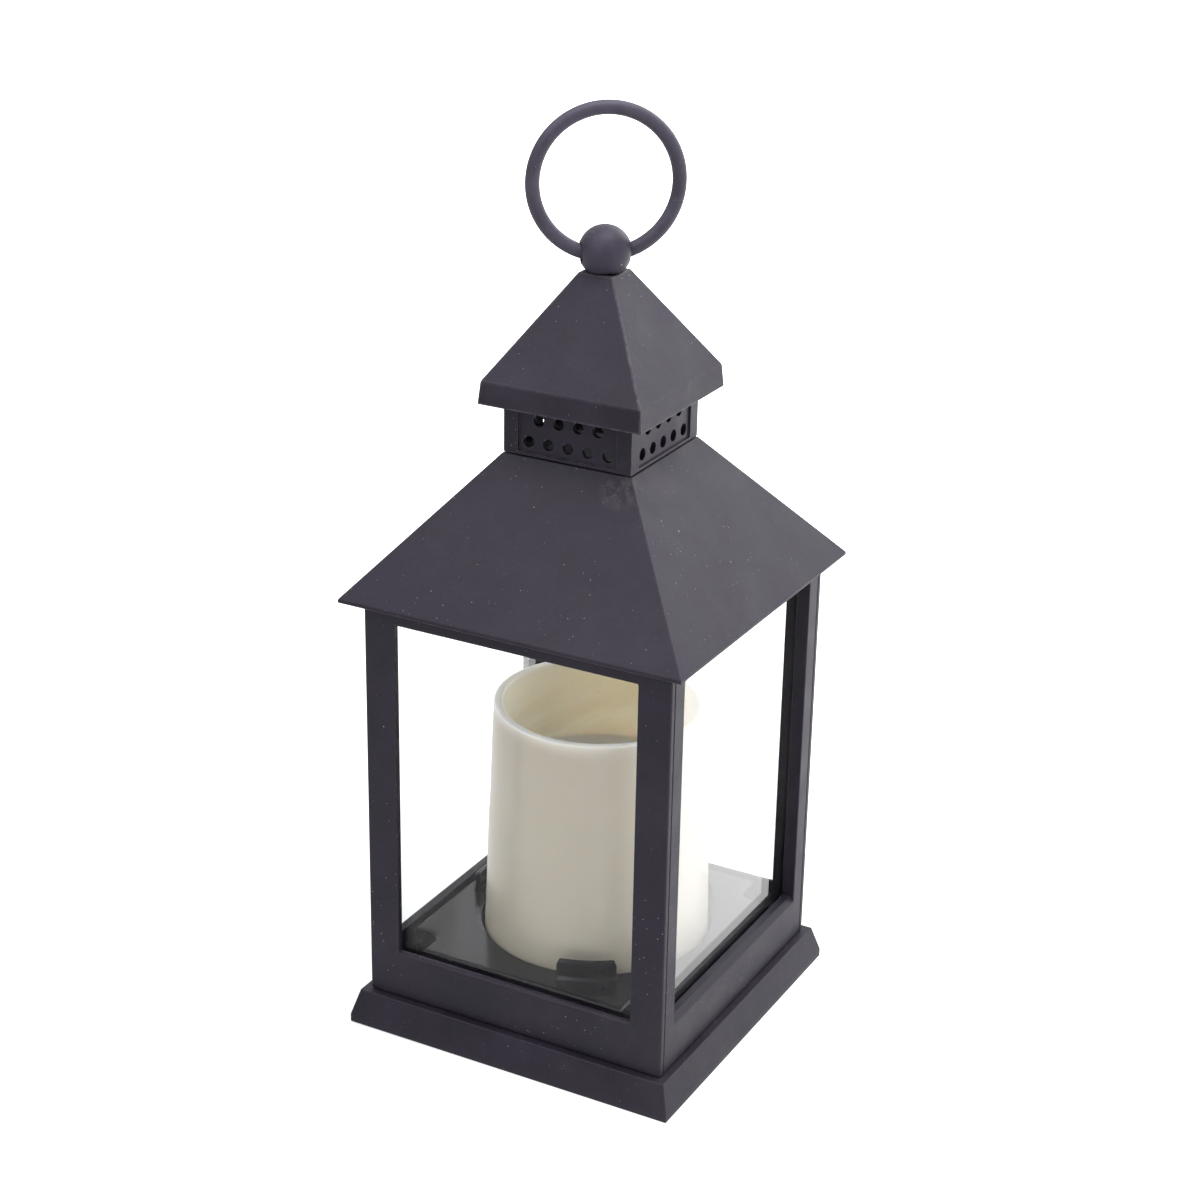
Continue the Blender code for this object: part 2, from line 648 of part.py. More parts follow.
def make_candle_shell(mat):
    """Hollow wax shell: a deep cup above, a skirt round the battery drum below."""
    rim_r = 1.5 * MM
    rim_mid = CANDLE_R_TOP - rim_r
    rim_z = CANDLE_TOP_Z - rim_r
    profile = [(CANDLE_R_LOW, CANDLE_BOTTOM_Z), (CANDLE_R_LOW, FLOOR_Z + MM), (CANDLE_R_TOP, rim_z)]
    for i in range(1, 4):
        a = math.pi * i / 4
        profile.append((rim_mid + rim_r * math.cos(a), rim_z + rim_r * math.sin(a)))
    profile += [(rim_mid - rim_r, rim_z), (27.4 * MM, CUP_FLOOR_Z + 5 * MM),
                (25.6 * MM, CUP_FLOOR_Z + 1.3 * MM), (22.0 * MM, CUP_FLOOR_Z),
                (LED_R + 0.5 * MM, CUP_FLOOR_Z), (LED_R + 0.5 * MM, CUP_FLOOR_Z - 1.8 * MM),
                (26.0 * MM, CUP_FLOOR_Z - 1.8 * MM), (29.6 * MM, CUP_FLOOR_Z - 5 * MM),
                (DRUM_R + GAP, DECK_Z + 2 * MM), (DRUM_R + GAP, CANDLE_BOTTOM_Z)]
    bm = bmesh.new()
    turned(bm, profile, ROUND, closed=True)
    finish("candle_shell", bm, mat, UNIT)


def make_housing(mat):
    """Battery drum with its bottom plate, battery bay and deck."""
    plate_top = HOUSING_Z + HOUSING_SKIN
    bm = bmesh.new()
    turned(bm, [(HOUSING_R, HOUSING_Z), (HOUSING_R, plate_top), (DRUM_R, plate_top),
                (DRUM_R, DECK_Z)], ROUND)
    drum = finish("battery_housing", bm, mat, UNIT)
    cut(drum, lambda bm: cylinder(bm, (0, 0), DRUM_R - WALL, plate_top, DECK_Z - WALL,
                                  ROUND))
    lobe_x, lobe_y, lobe_r = DOOR_LOBE
    join(drum, lambda bm: box(bm, (-BAY_HALF_X - MM, -BAY_HALF_Y - MM, plate_top - 0.4 * MM),
                              (BAY_HALF_X + MM, BAY_HALF_Y + MM, DECK_Z - WALL + 0.4 * MM)))
    join(drum, lambda bm: cylinder(bm, (lobe_x, lobe_y), 1.6 * MM, plate_top - 0.2 * MM,
                                   22 * MM, 12))
    cut(drum, lambda bm: box(bm, (-BAY_HALF_X, -BAY_HALF_Y, HOUSING_Z - MM),
                             (BAY_HALF_X, BAY_HALF_Y, BAY_TOP_Z)))
    door_x = DOOR_HALF_X + GAP
    door_y = DOOR_HALF_Y + GAP
    latch_y = LATCH_HALF_Y + 1.2 * MM
    recess_top = plate_top + 0.1 * MM
    cut(drum, lambda bm: box(bm, (-door_x, -door_y, HOUSING_Z - MM), (door_x, door_y, recess_top)))
    cut(drum, lambda bm: box(bm, (0.0, -latch_y, HOUSING_Z - MM),
                             (LATCH_X + MM, latch_y, recess_top)))
    cut(drum, lambda bm: cylinder(bm, (lobe_x, lobe_y), lobe_r + GAP, HOUSING_Z - MM, recess_top, 16))
    cut(drum, lambda bm: cylinder(bm, (lobe_x, lobe_y), 1.0 * MM, HOUSING_Z, 21 * MM, 12))
    cut(drum, lambda bm: box(bm, (-5.1 * MM, SWITCH_Y - 1.7 * MM, HOUSING_Z - MM),
                             (5.1 * MM, SWITCH_Y + 1.7 * MM, plate_top + 0.2 * MM)))
    cut(drum, lambda bm: box(bm, (-2.3 * MM, SWITCH_Y - 3.8 * MM, HOUSING_Z - MM),
                             (2.3 * MM, SWITCH_Y + 3.8 * MM, plate_top + 0.2 * MM)))
    cut(drum, lambda bm: box(bm, (-3.2 * MM, 25.6 * MM, HOUSING_Z - MM),
                             (3.2 * MM, 29.8 * MM, plate_top + 0.2 * MM)))
    cut(drum, lambda bm: cylinder(bm, (0, WIRE_HOLE_Y), 3.0 * MM, DECK_Z - 3 * MM, DECK_Z + MM, 16))


def make_door(mat, steel, pivot):
    """Battery door with its latch finger, screw lobe and finger grips."""
    top = HOUSING_Z + HOUSING_SKIN - GAP
    bm = bmesh.new()
    box(bm, (-DOOR_HALF_X, -DOOR_HALF_Y, HOUSING_Z), (DOOR_HALF_X, DOOR_HALF_Y, top))
    door = finish("battery_door", bm, mat, UNIT)
    join(door, lambda bm: box(bm, (DOOR_HALF_X - MM, -LATCH_HALF_Y, HOUSING_Z),
                              (LATCH_X, LATCH_HALF_Y, top)))
    lobe_x, lobe_y, lobe_r = DOOR_LOBE
    join(door, lambda bm: cylinder(bm, (lobe_x, lobe_y), lobe_r, HOUSING_Z, top))
    cut(door, lambda bm: turned(bm, [(2.0 * MM, HOUSING_Z - MM), (2.0 * MM, HOUSING_Z + 0.7 * MM),
                                     (1.1 * MM, HOUSING_Z + 0.7 * MM), (1.1 * MM, top + MM)],
                                16, (lobe_x, lobe_y)))
    for side in (-1, 1):
        cut(door, lambda bm: box(bm, (-3.4 * MM, side * 13 * MM - 1.8 * MM, HOUSING_Z - MM),
                                 (8.0 * MM, side * 13 * MM + 1.8 * MM, HOUSING_Z + 0.35 * MM)))
    ride(door, pivot)

    head_z = HOUSING_Z - 0.5 * MM
    bm = bmesh.new()
    phillips_screw(bm, (lobe_x, lobe_y), head_z, 1.7 * MM, 0.9 * MM, 0.7 * MM, 19 * MM)
    screw = finish("door_screw", bm, steel, UNIT)
    cut(screw, lambda bm: cross_recess(bm, (lobe_x, lobe_y), head_z, 1.0 * MM, 0.5 * MM))
    ride(screw, pivot)


def lay_along_x(thing, centre):
    """Turn a piece modelled upright about +Z to lie along X at a point."""
    thing.data.transform(Matrix.Translation(centre) @ Matrix.Rotation(math.pi / 2, 4, "Y"))


def make_cells(can, pivots):
    """Three AAA-size cells side by side, alternate ones reversed."""
    foot = CELL_TIP_X - CELL_L
    for index, pivot in enumerate(pivots):
        bm = bmesh.new()
        turned(bm, [(CELL_R - 0.5 * MM, foot), (CELL_R, foot + 0.4 * MM),
                    (CELL_R, CELL_TIP_X - 1.4 * MM), (CELL_R - 0.6 * MM, CELL_TIP_X - MM),
                    (1.9 * MM, CELL_TIP_X - MM), (1.9 * MM, CELL_TIP_X)], 20)
        cell = finish("battery_cell_%d" % (index + 1), bm, can)
        if index == 1:
            cell.data.transform(Matrix.Rotation(math.pi, 4, "X"))
        lay_along_x(cell, (0.0, (index - 1) * CELL_PITCH, CELL_Z))
        cell.location = UNIT
        ride(cell, pivot)


def make_contacts(steel):
    """Contact plates that join the cells in series, and a spring at each minus end."""
    plate_x = BAY_HALF_X - GAP
    thick = 0.5 * MM
    half = 4.2 * MM
    spans = ((-1, -1, -1), (-1, 0, 1), (1, -1, 0), (1, 1, 1))
    for index, (side, first, last) in enumerate(spans):
        x0, x1 = sorted((side * plate_x, side * (plate_x - thick)))
        bm = bmesh.new()
        box(bm, (x0, first * CELL_PITCH - half, CELL_Z - half),
            (x1, last * CELL_PITCH + half, CELL_Z + half))
        finish("contact_plate_%d" % (index + 1), bm, steel, UNIT, smooth=False)
    minus_end = CELL_L - CELL_TIP_X + GAP
    for index in (-1, 0, 1):
        side = 1 if index == 0 else -1
        bm = bmesh.new()
        contact_spring(bm, side * (plate_x - thick - GAP), side * minus_end, index * CELL_PITCH)
        finish("contact_spring_%d" % (index + 2), bm, steel, UNIT)


def contact_spring(bm, x_far, x_near, y):
    """A conical coil of thin wire between two X positions."""
    turns, per_turn, sides = 2.0, 10, 5
    wire = 0.3 * MM
    inset = wire if x_far > x_near else -wire
    steps = int(turns * per_turn)
    loops = []
    for i in range(steps + 1):
        t = i / steps
        a = 2 * math.pi * turns * t
        radius = (3.3 - 1.1 * t) * MM
        out = Vector((0.0, math.cos(a), math.sin(a)))
        middle = Vector((x_far - inset + (x_near - x_far + 2 * inset) * t, y, CELL_Z)) + out * radius
        along = Vector((1.0, 0.0, 0.0))
        loops.append([middle + (out * math.cos(b) + along * math.sin(b)) * wire
                      for b in (2 * math.pi * j / sides for j in range(sides))])
    add_loops(bm, loops)


def make_switch(board_mat, black, steel, pivot):
    """Circuit board, slide switch can and its three-position slider."""
    bm = bmesh.new()
    box(bm, (-12 * MM, -26.6 * MM, 18.9 * MM), (12 * MM, -17.9 * MM, 20.1 * MM))
    finish("circuit_board", bm, board_mat, UNIT, smooth=False)
    bm = bmesh.new()
    box(bm, (-6.5 * MM, SWITCH_Y - 2.6 * MM, 14.7 * MM), (6.5 * MM, SWITCH_Y + 2.6 * MM, 18.6 * MM))
    finish("switch_can", bm, steel, UNIT, smooth=False)
    bm = bmesh.new()
    box(bm, (-KNOB_HALF[0], SWITCH_Y - KNOB_HALF[1], HOUSING_Z - 1.2 * MM),
        (KNOB_HALF[0], SWITCH_Y + KNOB_HALF[1], 13.6 * MM))
    slider = finish("switch_slider", bm, black, UNIT)
    join(slider, lambda bm: box(bm, (-6.6 * MM, SWITCH_Y - 1.9 * MM, 13.2 * MM),
                                (6.6 * MM, SWITCH_Y + 1.9 * MM, 14.3 * MM)))
    ride(slider, pivot)


def bent_wire(bm, route, radius, sides=6):
    """A thin wire in a plane of constant X along a route with mitred bends."""
    loops = []
    for i, point in enumerate(route):
        before = (route[i] - route[i - 1]).normalized() if i else None
        after = (route[i + 1] - route[i]).normalized() if i + 1 < len(route) else None
        along = ((before or after) + (after or before)).normalized()
        stretch = 1.0 / along.dot(before or after)
        across = along.cross(Vector((1.0, 0.0, 0.0)))
        loops.append([point + radius * (Vector((math.cos(b), 0.0, 0.0)) + stretch * math.sin(b) * across)
                      for b in (2 * math.pi * j / sides for j in range(sides))])
    add_loops(bm, loops)


def make_led(mat, holder_mat, copper):
    """Flame LED in the cup's floor, on a hollow post, with its two wires."""
    foot = DECK_Z + GAP
    post_top = CUP_FLOOR_Z - 2.6 * MM
    bore = 2.4 * MM
    bm = bmesh.new()
    turned(bm, [(6.0 * MM, foot), (6.0 * MM, foot + 1.2 * MM), (3.9 * MM, foot + 2.7 * MM),
                (3.6 * MM, post_top), (bore, post_top), (bore, foot)], 16, closed=True)
    post = finish("led_post", bm, holder_mat, UNIT)
    slot = WIRE_X + WIRE_R + GAP
    crossing_z = foot + 2.2 * MM
    cut(post, lambda bm: box(bm, (-slot, -7 * MM, foot - MM), (slot, 0.0, crossing_z + MM)))

    seat = post_top + GAP
    dome = CUP_FLOOR_Z + 4.0 * MM
    steps = 5
    profile = [(LED_R, seat), (LED_R, dome)]
    for i in range(1, steps):
        a = math.pi / 2 * i / steps
        profile.append((LED_R * math.cos(a), dome + LED_R * math.sin(a)))
    bm = bmesh.new()
    turned(bm, profile, 16)
    finish("led", bm, mat, UNIT)

    for index, side in enumerate((-1, 1)):
        x = side * WIRE_X
        bm = bmesh.new()
        bent_wire(bm, [Vector((x, WIRE_HOLE_Y, 20.4 * MM)), Vector((x, WIRE_HOLE_Y, crossing_z)),
                       Vector((x, 0.0, crossing_z)), Vector((x, 0.0, seat - GAP))], WIRE_R)
        finish("led_wire_%d" % (index + 1), bm, copper, UNIT)


def main():
    clear_scene()
    black = material("black_plastic", BLACK, 0.55)
    grey = material("housing_plastic", GREY, 0.5)
    clear = material("clear_plastic", (0.95, 0.96, 0.97), 0.05, alpha=0.15)
    wax = material("wax", WAX, 0.4)
    steel = material("steel", STEEL, 0.35, 1.0)
    board = material("board_green", (0.03, 0.16, 0.07), 0.5)
    can = material("cell_wrap", (0.12, 0.12, 0.13), 0.35)
    led = material("led_epoxy", (0.95, 0.80, 0.45), 0.15)
    insulation = material("wire_insulation", (0.45, 0.03, 0.03), 0.5)

    make_base(black)
    make_base_screws(steel)
    make_lapping_wall("wall_front", 0, black)
    make_lapping_wall("wall_back", 180, black)
    make_side_wall("wall_right", 90, black)
    make_side_wall("wall_left", 270, black)
    make_panes(clear)
    make_roof(black)
    make_vent_neck(black)
    make_cap(black)
    make_finial(black, steel, axis_empty("finial_axis", (0.0, 0.0, BALL_Z)))
    make_ring(black, axis_empty("ring_axis", (0.0, 0.0, RING_BORE_Z), RING_TURN))
    make_candle_shell(wax)
    make_housing(grey)
    make_door(grey, steel, axis_empty("door_axis", UNIT))
    make_cells(can, [axis_empty("cell_axis_%d" % i, UNIT) for i in (1, 2, 3)])
    make_contacts(steel)
    make_switch(board, black, steel, axis_empty("switch_axis", (UNIT_X, SWITCH_Y, HOUSING_Z)))
    make_led(led, grey, insulation)


main()
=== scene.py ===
"""Looks of the battery candle lantern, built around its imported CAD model.

Frame: +Z up, origin at the centre of the base's underside, metres.
-Y faces out of the front window and +X out of the right one.
"""
import json
from math import acos, cos, pi, radians, sin, sqrt, tan

import bmesh
import bpy
from mathutils import Matrix, Vector, noise


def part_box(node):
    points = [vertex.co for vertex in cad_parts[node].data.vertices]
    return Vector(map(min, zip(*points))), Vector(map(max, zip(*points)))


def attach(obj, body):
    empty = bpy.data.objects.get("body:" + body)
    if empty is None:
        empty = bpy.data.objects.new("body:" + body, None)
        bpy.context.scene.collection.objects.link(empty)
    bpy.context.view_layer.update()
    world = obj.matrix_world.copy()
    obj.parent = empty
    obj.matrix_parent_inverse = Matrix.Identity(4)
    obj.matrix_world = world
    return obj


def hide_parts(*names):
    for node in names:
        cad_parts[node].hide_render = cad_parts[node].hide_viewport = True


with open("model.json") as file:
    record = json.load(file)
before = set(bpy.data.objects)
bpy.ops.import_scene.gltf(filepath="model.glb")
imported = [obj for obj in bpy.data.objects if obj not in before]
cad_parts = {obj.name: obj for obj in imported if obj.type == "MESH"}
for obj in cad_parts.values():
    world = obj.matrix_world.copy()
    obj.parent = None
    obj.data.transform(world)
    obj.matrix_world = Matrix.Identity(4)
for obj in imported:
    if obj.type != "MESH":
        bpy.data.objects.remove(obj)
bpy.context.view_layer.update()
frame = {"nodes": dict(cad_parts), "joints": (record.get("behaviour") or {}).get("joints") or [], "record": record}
BODY_OF = {node: body for body, nodes in frame["record"]["behaviour"]["bodies"].items()
           for node in nodes}

MM = 0.001
ROUND = 96  # sides of the large round shapes
FINE = 36  # sides of small round shapes


def centre_of(node):
    low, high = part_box(node)
    return (low + high) / 2


UNIT = centre_of("battery_housing").to_2d()  # the candle's own axis
HOUSING_Z, DECK_Z = (corner.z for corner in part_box("battery_housing"))
FLOOR_Z = 25.5 * MM  # the floor the candle stands in
CANDLE_TOP_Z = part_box("candle_shell")[1].z
BORE_Z = frame["joints"][1]["pos_m"][2]  # the hanging ring's hinge
HINGE_TURN = radians(38.0)  # its heading from +X


# ---- mesh tools

def add_loops(bm, loops, closed=False):
    """Skin a stack of matching point loops; cap both ends unless closed."""
    rings = [[bm.verts.new(p) for p in loop] for loop in loops]
    pairs = list(zip(rings, rings[1:]))
    if closed:
        pairs.append((rings[-1], rings[0]))
    count = len(rings[0])
    for low, high in pairs:
        for i in range(count):
            j = (i + 1) % count
            bm.faces.new((low[i], low[j], high[j], high[i]))
    if not closed:
        bm.faces.new(list(reversed(rings[0])))
        bm.faces.new(rings[-1])


def prism(bm, outline, z0, z1):
    add_loops(bm, [[(x, y, z) for x, y in outline] for z in (z0, z1)])


def box(bm, low, high):
    prism(bm, [(low[0], low[1]), (high[0], low[1]), (high[0], high[1]), (low[0], high[1])],
          low[2], high[2])


def square_stack(bm, levels, closed=False):
    """Squares of half width h at height z, for each (h, z) in levels."""
    add_loops(bm, [[(-h, -h, z), (h, -h, z), (h, h, z), (-h, h, z)] for h, z in levels], closed)


def circle(radius, count, centre=(0.0, 0.0)):
    step = 2 * pi / count
    return [(centre[0] + radius * cos(i * step),
             centre[1] + radius * sin(i * step)) for i in range(count)]


def turned(bm, profile, count, centre=(0.0, 0.0), closed=False):
    """A lathed body: circles of radius r at height z, for each (r, z) in profile."""
    add_loops(bm, [[(x, y, z) for x, y in circle(r, count, centre)] for r, z in profile],
              closed)


def cylinder(bm, centre, radius, z0, z1, count=FINE):
    turned(bm, [(radius, z0), (radius, z1)], count, centre)


def turn_about_z(bm, angle):
    bmesh.ops.rotate(bm, verts=bm.verts, matrix=Matrix.Rotation(angle, 3, "Z"))


def rounded(points, radius, steps=4, ends=True):
    """A polyline of (a, b) points with its corners turned into short curves."""
    made = []
    count = len(points)
    for i, point in enumerate(points):
        if not ends and i in (0, count - 1):
            made.append(point)
            continue
        here = Vector(point)
        back = Vector(points[i - 1]) - here
        on = Vector(points[(i + 1) % count]) - here
        turn = pi - back.angle(on)
        reach = min(radius * tan(turn / 2), 0.45 * back.length, 0.45 * on.length)
        start = here + back.normalized() * reach
        end = here + on.normalized() * reach
        for k in range(steps + 1):
            t = k / steps
            made.append(tuple((1 - t) ** 2 * start + 2 * t * (1 - t) * here + t * t * end))
    return made


def arc_block(bm, radii, angle, half_angle, z0, z1):
    """A curved block round the candle's axis; angles in degrees."""
    steps = 14
    sweep = [radians(angle - half_angle + 2 * half_angle * i / steps)
             for i in range(steps + 1)]
    outline = [(UNIT.x + radius * cos(a), UNIT.y + radius * sin(a))
               for radius, side in ((radii[1], sweep), (radii[0], sweep[::-1])) for a in side]
    prism(bm, outline, z0, z1)


def plus_outline(half_x, half_y, notch, radius):
    """A rectangle less its four corners; each notch's inner corner is rounded."""
    steps = 10
    arc = [pi * (1.0 + 0.5 * (1.0 - i / steps)) for i in range(steps + 1)]
    middle = notch + radius
    corner = [(half_x, notch)]
    corner += [(middle + radius * cos(a), middle + radius * sin(a)) for a in arc]
    corner.append((notch, half_y))
    points = []
    for sx, sy in ((1, 1), (-1, 1), (-1, -1), (1, -1)):
        placed = [(sx * x, sy * y) for x, y in corner]
        points += placed if sx == sy else list(reversed(placed))
    return points


def plus_stack(bm, levels, radius):
    add_loops(bm, [[(x, y, z) for x, y in plus_outline(half_x, half_y, notch, radius)]
                   for half_x, half_y, notch, z in levels])


def corners(at):
    """The same place in each quarter of the base."""
    return [(sx * at, sy * at) for sx in (-1, 1) for sy in (-1, 1)]


def linked(name, data):
    made = bpy.data.objects.new(name, data)
    bpy.context.scene.collection.objects.link(made)
    return made


def new_object(name, bm, mat=None):
    bmesh.ops.recalc_face_normals(bm, faces=bm.faces)
    mesh = bpy.data.meshes.new(name)
    bm.to_mesh(mesh)
    bm.free()
    if mat:
        mesh.materials.append(mat)
    return linked(name, mesh)


def built(name, build, mat=None):
    """A new object from the body that build(bm) makes."""
    bm = bmesh.new()
    build(bm)
    return new_object(name, bm, mat)


def combine(target, build, operation):
    """Apply one Boolean to target with the body that build(bm) makes."""
    tool = built("tool", build)
    step = target.modifiers.new("step", "BOOLEAN")
    step.operation = operation
    step.solver = "EXACT"
    step.object = tool
    apply_modifiers(target)
    bpy.data.objects.remove(tool, do_unlink=True)


def apply_modifiers(target):
    bpy.context.view_layer.update()
    graph = bpy.context.evaluated_depsgraph_get()
    result = bpy.data.meshes.new_from_object(target.evaluated_get(graph))
    target.modifiers.clear()
    target.data = result


def cut(target, build):
    combine(target, build, "DIFFERENCE")


def join(target, build):
    combine(target, build, "UNION")


def tidy_faces(target):
    """Weld and merge flat neighbours, so that bevels run on whole edges."""
    bm = bmesh.new()
    bm.from_mesh(target.data)
    bmesh.ops.remove_doubles(bm, verts=bm.verts, dist=0.002 * MM)
    bmesh.ops.dissolve_limit(bm, angle_limit=radians(0.6), verts=bm.verts, edges=bm.edges)
    bm.to_mesh(target.data)
    bm.free()


def soften(target, width=0.0, segments=3, angle=38.0, sharp=32.0):
    """Round every crisp edge and shade the faces smooth between them."""
    if width:
        bevel = target.modifiers.new("edges", "BEVEL")
        bevel.width = width
        bevel.segments = segments
        bevel.limit_method = "ANGLE"
        bevel.angle_limit = radians(angle)
        bevel.use_clamp_overlap = False
        bevel.loop_slide = False
        bevel.miter_outer = "MITER_ARC"
        apply_modifiers(target)
    target.data.shade_smooth()
    target.data.set_sharp_from_angle(angle=radians(sharp))
    flat = target.modifiers.new("normals", "WEIGHTED_NORMAL")
    flat.keep_sharp = True
    flat.weight = 90
    apply_modifiers(target)


def place(piece, node):
    """Stand piece in for a CAD node, on that node's body."""
    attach(piece, BODY_OF[node])
    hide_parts(node)
    return piece


def refined(node, mat, bevel, segments=3, angle=38.0, sharp=32.0):
    """A copy of a CAD node with whole faces, rounded edges and its own material."""
    piece = linked(node + "_fine", frame["nodes"][node].data.copy())
    piece.data.materials.clear()
    piece.data.materials.append(mat)
    tidy_faces(piece)
    soften(piece, bevel, segments, angle, sharp)
    return place(piece, node)


# ---- materials

class Paint:
    """A material's node tree, built by short calls."""

    def __init__(self, name, **shader):
        self.material = bpy.data.materials.new(name)
        self.material.use_nodes = True
        self.tree = self.material.node_tree
        self.shader = self.tree.nodes["Principled BSDF"]
        for socket, value in shader.items():
            self.shader.inputs[socket.replace("_", " ")].default_value = value
        self.coords = self.tree.nodes.new("ShaderNodeTexCoord").outputs["Object"]

    def node(self, kind, inputs=None, **settings):
        made = self.tree.nodes.new("ShaderNode" + kind)
        for key, value in settings.items():
            setattr(made, key, value)
        for key, value in (inputs or {}).items():
            socket = made.inputs[key]
            if isinstance(value, bpy.types.NodeSocket):
                self.tree.links.new(value, socket)
            else:
                socket.default_value = value
        return made

    def noise(self, scale, detail=3.0, rough=0.55, vector=None, distort=0.0):
        made = self.node("TexNoise", {"Vector": vector or self.coords, "Scale": scale,
                                      "Detail": detail, "Roughness": rough,
                                      "Distortion": distort})
        return made.outputs["Fac"]

    def stretched(self, x, y, z):
        made = self.node("Mapping", {"Vector": self.coords, "Scale": (x, y, z)})
        return made.outputs["Vector"]

    def greys(self, value, stops):
        """Map a value through two (position, grey) stops."""
        made = self.node("ValToRGB", {"Fac": value})
        for element, (at, grey) in zip(made.color_ramp.elements, stops):
            element.position = at
            element.color = (grey, grey, grey, 1.0)
        return made.outputs["Color"]

    def math(self, operation, a, b=0.0):
        return self.node("Math", {0: a, 1: b}, operation=operation).outputs[0]

    def times(self, a, b):
        return self.math("MULTIPLY", a, b)

    def remap(self, value, low=0.3, high=0.7, to_low=0.0, to_high=1.0):
        made = self.node("MapRange", {"Value": value, "From Min": low, "From Max": high,
                                      "To Min": to_low, "To Max": to_high})
        return made.outputs["Result"]

    def mix(self, factor, a, b):
        """Between two colours, each a socket or three numbers."""
        made = self.node("Mix", data_type="RGBA")
        for index, value in ((0, factor), (6, a), (7, b)):
            if isinstance(value, bpy.types.NodeSocket):
                self.tree.links.new(value, made.inputs[index])
            else:
                made.inputs[index].default_value = (*value, 1.0)
        return made.outputs[2]

    def axis(self, name, source=None):
        made = self.node("SeparateXYZ", {"Vector": source or self.coords})
        return made.outputs[name]

    def bump(self, height, distance, strength=1.0, normal=None):
        inputs = {"Height": height, "Distance": distance, "Strength": strength}
        if normal:
            inputs["Normal"] = normal
        return self.node("Bump", inputs).outputs["Normal"]

    def set(self, socket, value):
        self.tree.links.new(value, self.shader.inputs[socket])

    def speckle(self, scale, keep, soft=0.06):
        """Small round specks: 1 at a few Voronoi centres, 0 elsewhere."""
        cells = self.node("TexVoronoi", {"Vector": self.coords, "Scale": scale})
        near = self.remap(cells.outputs["Distance"], soft, soft * 0.35)
        chosen = self.axis("X", cells.outputs["Color"])
        return self.times(near, self.math("GREATER_THAN", chosen, 1.0 - keep))

    def edges(self, radius, crisp=0.88):
        """1 along crisp edges, 0 on flat faces."""
        bevel = self.node("Bevel", samples=4)
        bevel.inputs["Radius"].default_value = radius
        normal = self.node("NewGeometry").outputs["Normal"]
        facing = self.node("VectorMath", {0: bevel.outputs["Normal"], 1: normal},
                           operation="DOT_PRODUCT").outputs["Value"]
        return self.remap(facing, 0.997, crisp)


DUSTY_SPOT = (0.0185, -0.0225, 0.1720)  # at the foot of the neck's front corner


def black_plastic(name, colour=(0.0080, 0.0065, 0.0115), reach=0.45 * MM, crisp=0.88,
                  shine=0.55):
    """Moulded black plastic: fine grain, faint mottling, dust, scuffs, paler edges.

    reach, crisp and shine say how wide, how soft and how pale its edges are; the paler edges are partly wear and
    partly a painted highlight.
    """
    p = Paint(name, IOR=1.32, Specular_Tint=(0.92, 0.88, 1.0, 1.0))
    grain = p.noise(5200.0, 2.0, 0.6)
    mottle = p.noise(70.0, 5.0, 0.6, distort=0.4)
    tone = tuple(1.9 * c for c in colour)
    base = p.mix(p.remap(mottle), colour, tone)
    # Paler edges: partly wear, partly a painted highlight where edges would catch the light.
    edge_wear_and_highlight = p.times(p.edges(reach, crisp), p.remap(p.noise(420.0, 4.0), 0.30, 0.62))
    base = p.mix(p.times(edge_wear_and_highlight, shine), base, (0.095, 0.090, 0.102))
    scratch = p.noise(1.0, 3.0, 0.7, vector=p.stretched(900.0, 130.0, 240.0))
    scratch = p.remap(scratch, 0.70, 0.78)
    base = p.mix(p.times(scratch, 0.16), base, (0.12, 0.115, 0.125))
    patch = p.remap(p.noise(38.0, 3.0), 0.42, 0.68)
    specks = p.math("MAXIMUM", p.speckle(620.0, 0.025, 0.16), p.speckle(1500.0, 0.03, 0.26))
    specks = p.times(specks, p.times(patch, 0.75))
    base = p.mix(specks, base, (0.42, 0.39, 0.36))
    film = p.times(p.remap(p.noise(24.0, 6.0, 0.65), 0.50, 0.80), 0.020)
    base = p.mix(film, base, (0.40, 0.38, 0.37))
    away = p.node("VectorMath", {0: p.coords, 1: DUSTY_SPOT}, operation="DISTANCE")
    near = p.remap(away.outputs["Value"], 7.5 * MM, 1.0 * MM)
    smudge = p.times(near, p.remap(p.noise(330.0, 5.0, 0.7), 0.42, 0.72))
    base = p.mix(p.times(smudge, 0.15), base, (0.36, 0.32, 0.28))
    p.set("Base Color", base)
    p.set("Roughness", p.remap(mottle, 0.25, 0.75, 0.44, 0.60))
    p.set("Normal", p.bump(grain, 0.035 * MM, 0.75,
                           p.bump(p.noise(1300.0, 3.0), 0.06 * MM, 0.60)))
    return p.material


def glossy_plastic(name):
    """The candle floor and its tabs: polished black, dusty, a few fine scratches."""
    p = Paint(name, IOR=1.30, Specular_Tint=(0.94, 0.92, 1.0, 1.0))
    cloud = p.noise(40.0, 4.0, 0.6, distort=0.3)
    base = p.mix(p.remap(cloud), (0.0025, 0.002, 0.0035), (0.005, 0.004, 0.007))
    film = p.times(p.remap(p.noise(90.0, 5.0, 0.6), 0.5, 0.8), 0.01)
    film = p.math("ADD", film, p.times(p.speckle(800.0, 0.05, 0.22), 0.35))
    p.set("Base Color", p.mix(film, base, (0.40, 0.38, 0.38)))
    p.set("Roughness", p.remap(cloud, 0.25, 0.75, 0.12, 0.24))
    scratch = p.noise(1.0, 3.0, 0.7, vector=p.stretched(700.0, 90.0, 300.0))
    p.set("Normal", p.bump(p.remap(scratch, 0.62, 0.75), 0.01 * MM, 0.35))
    return p.material


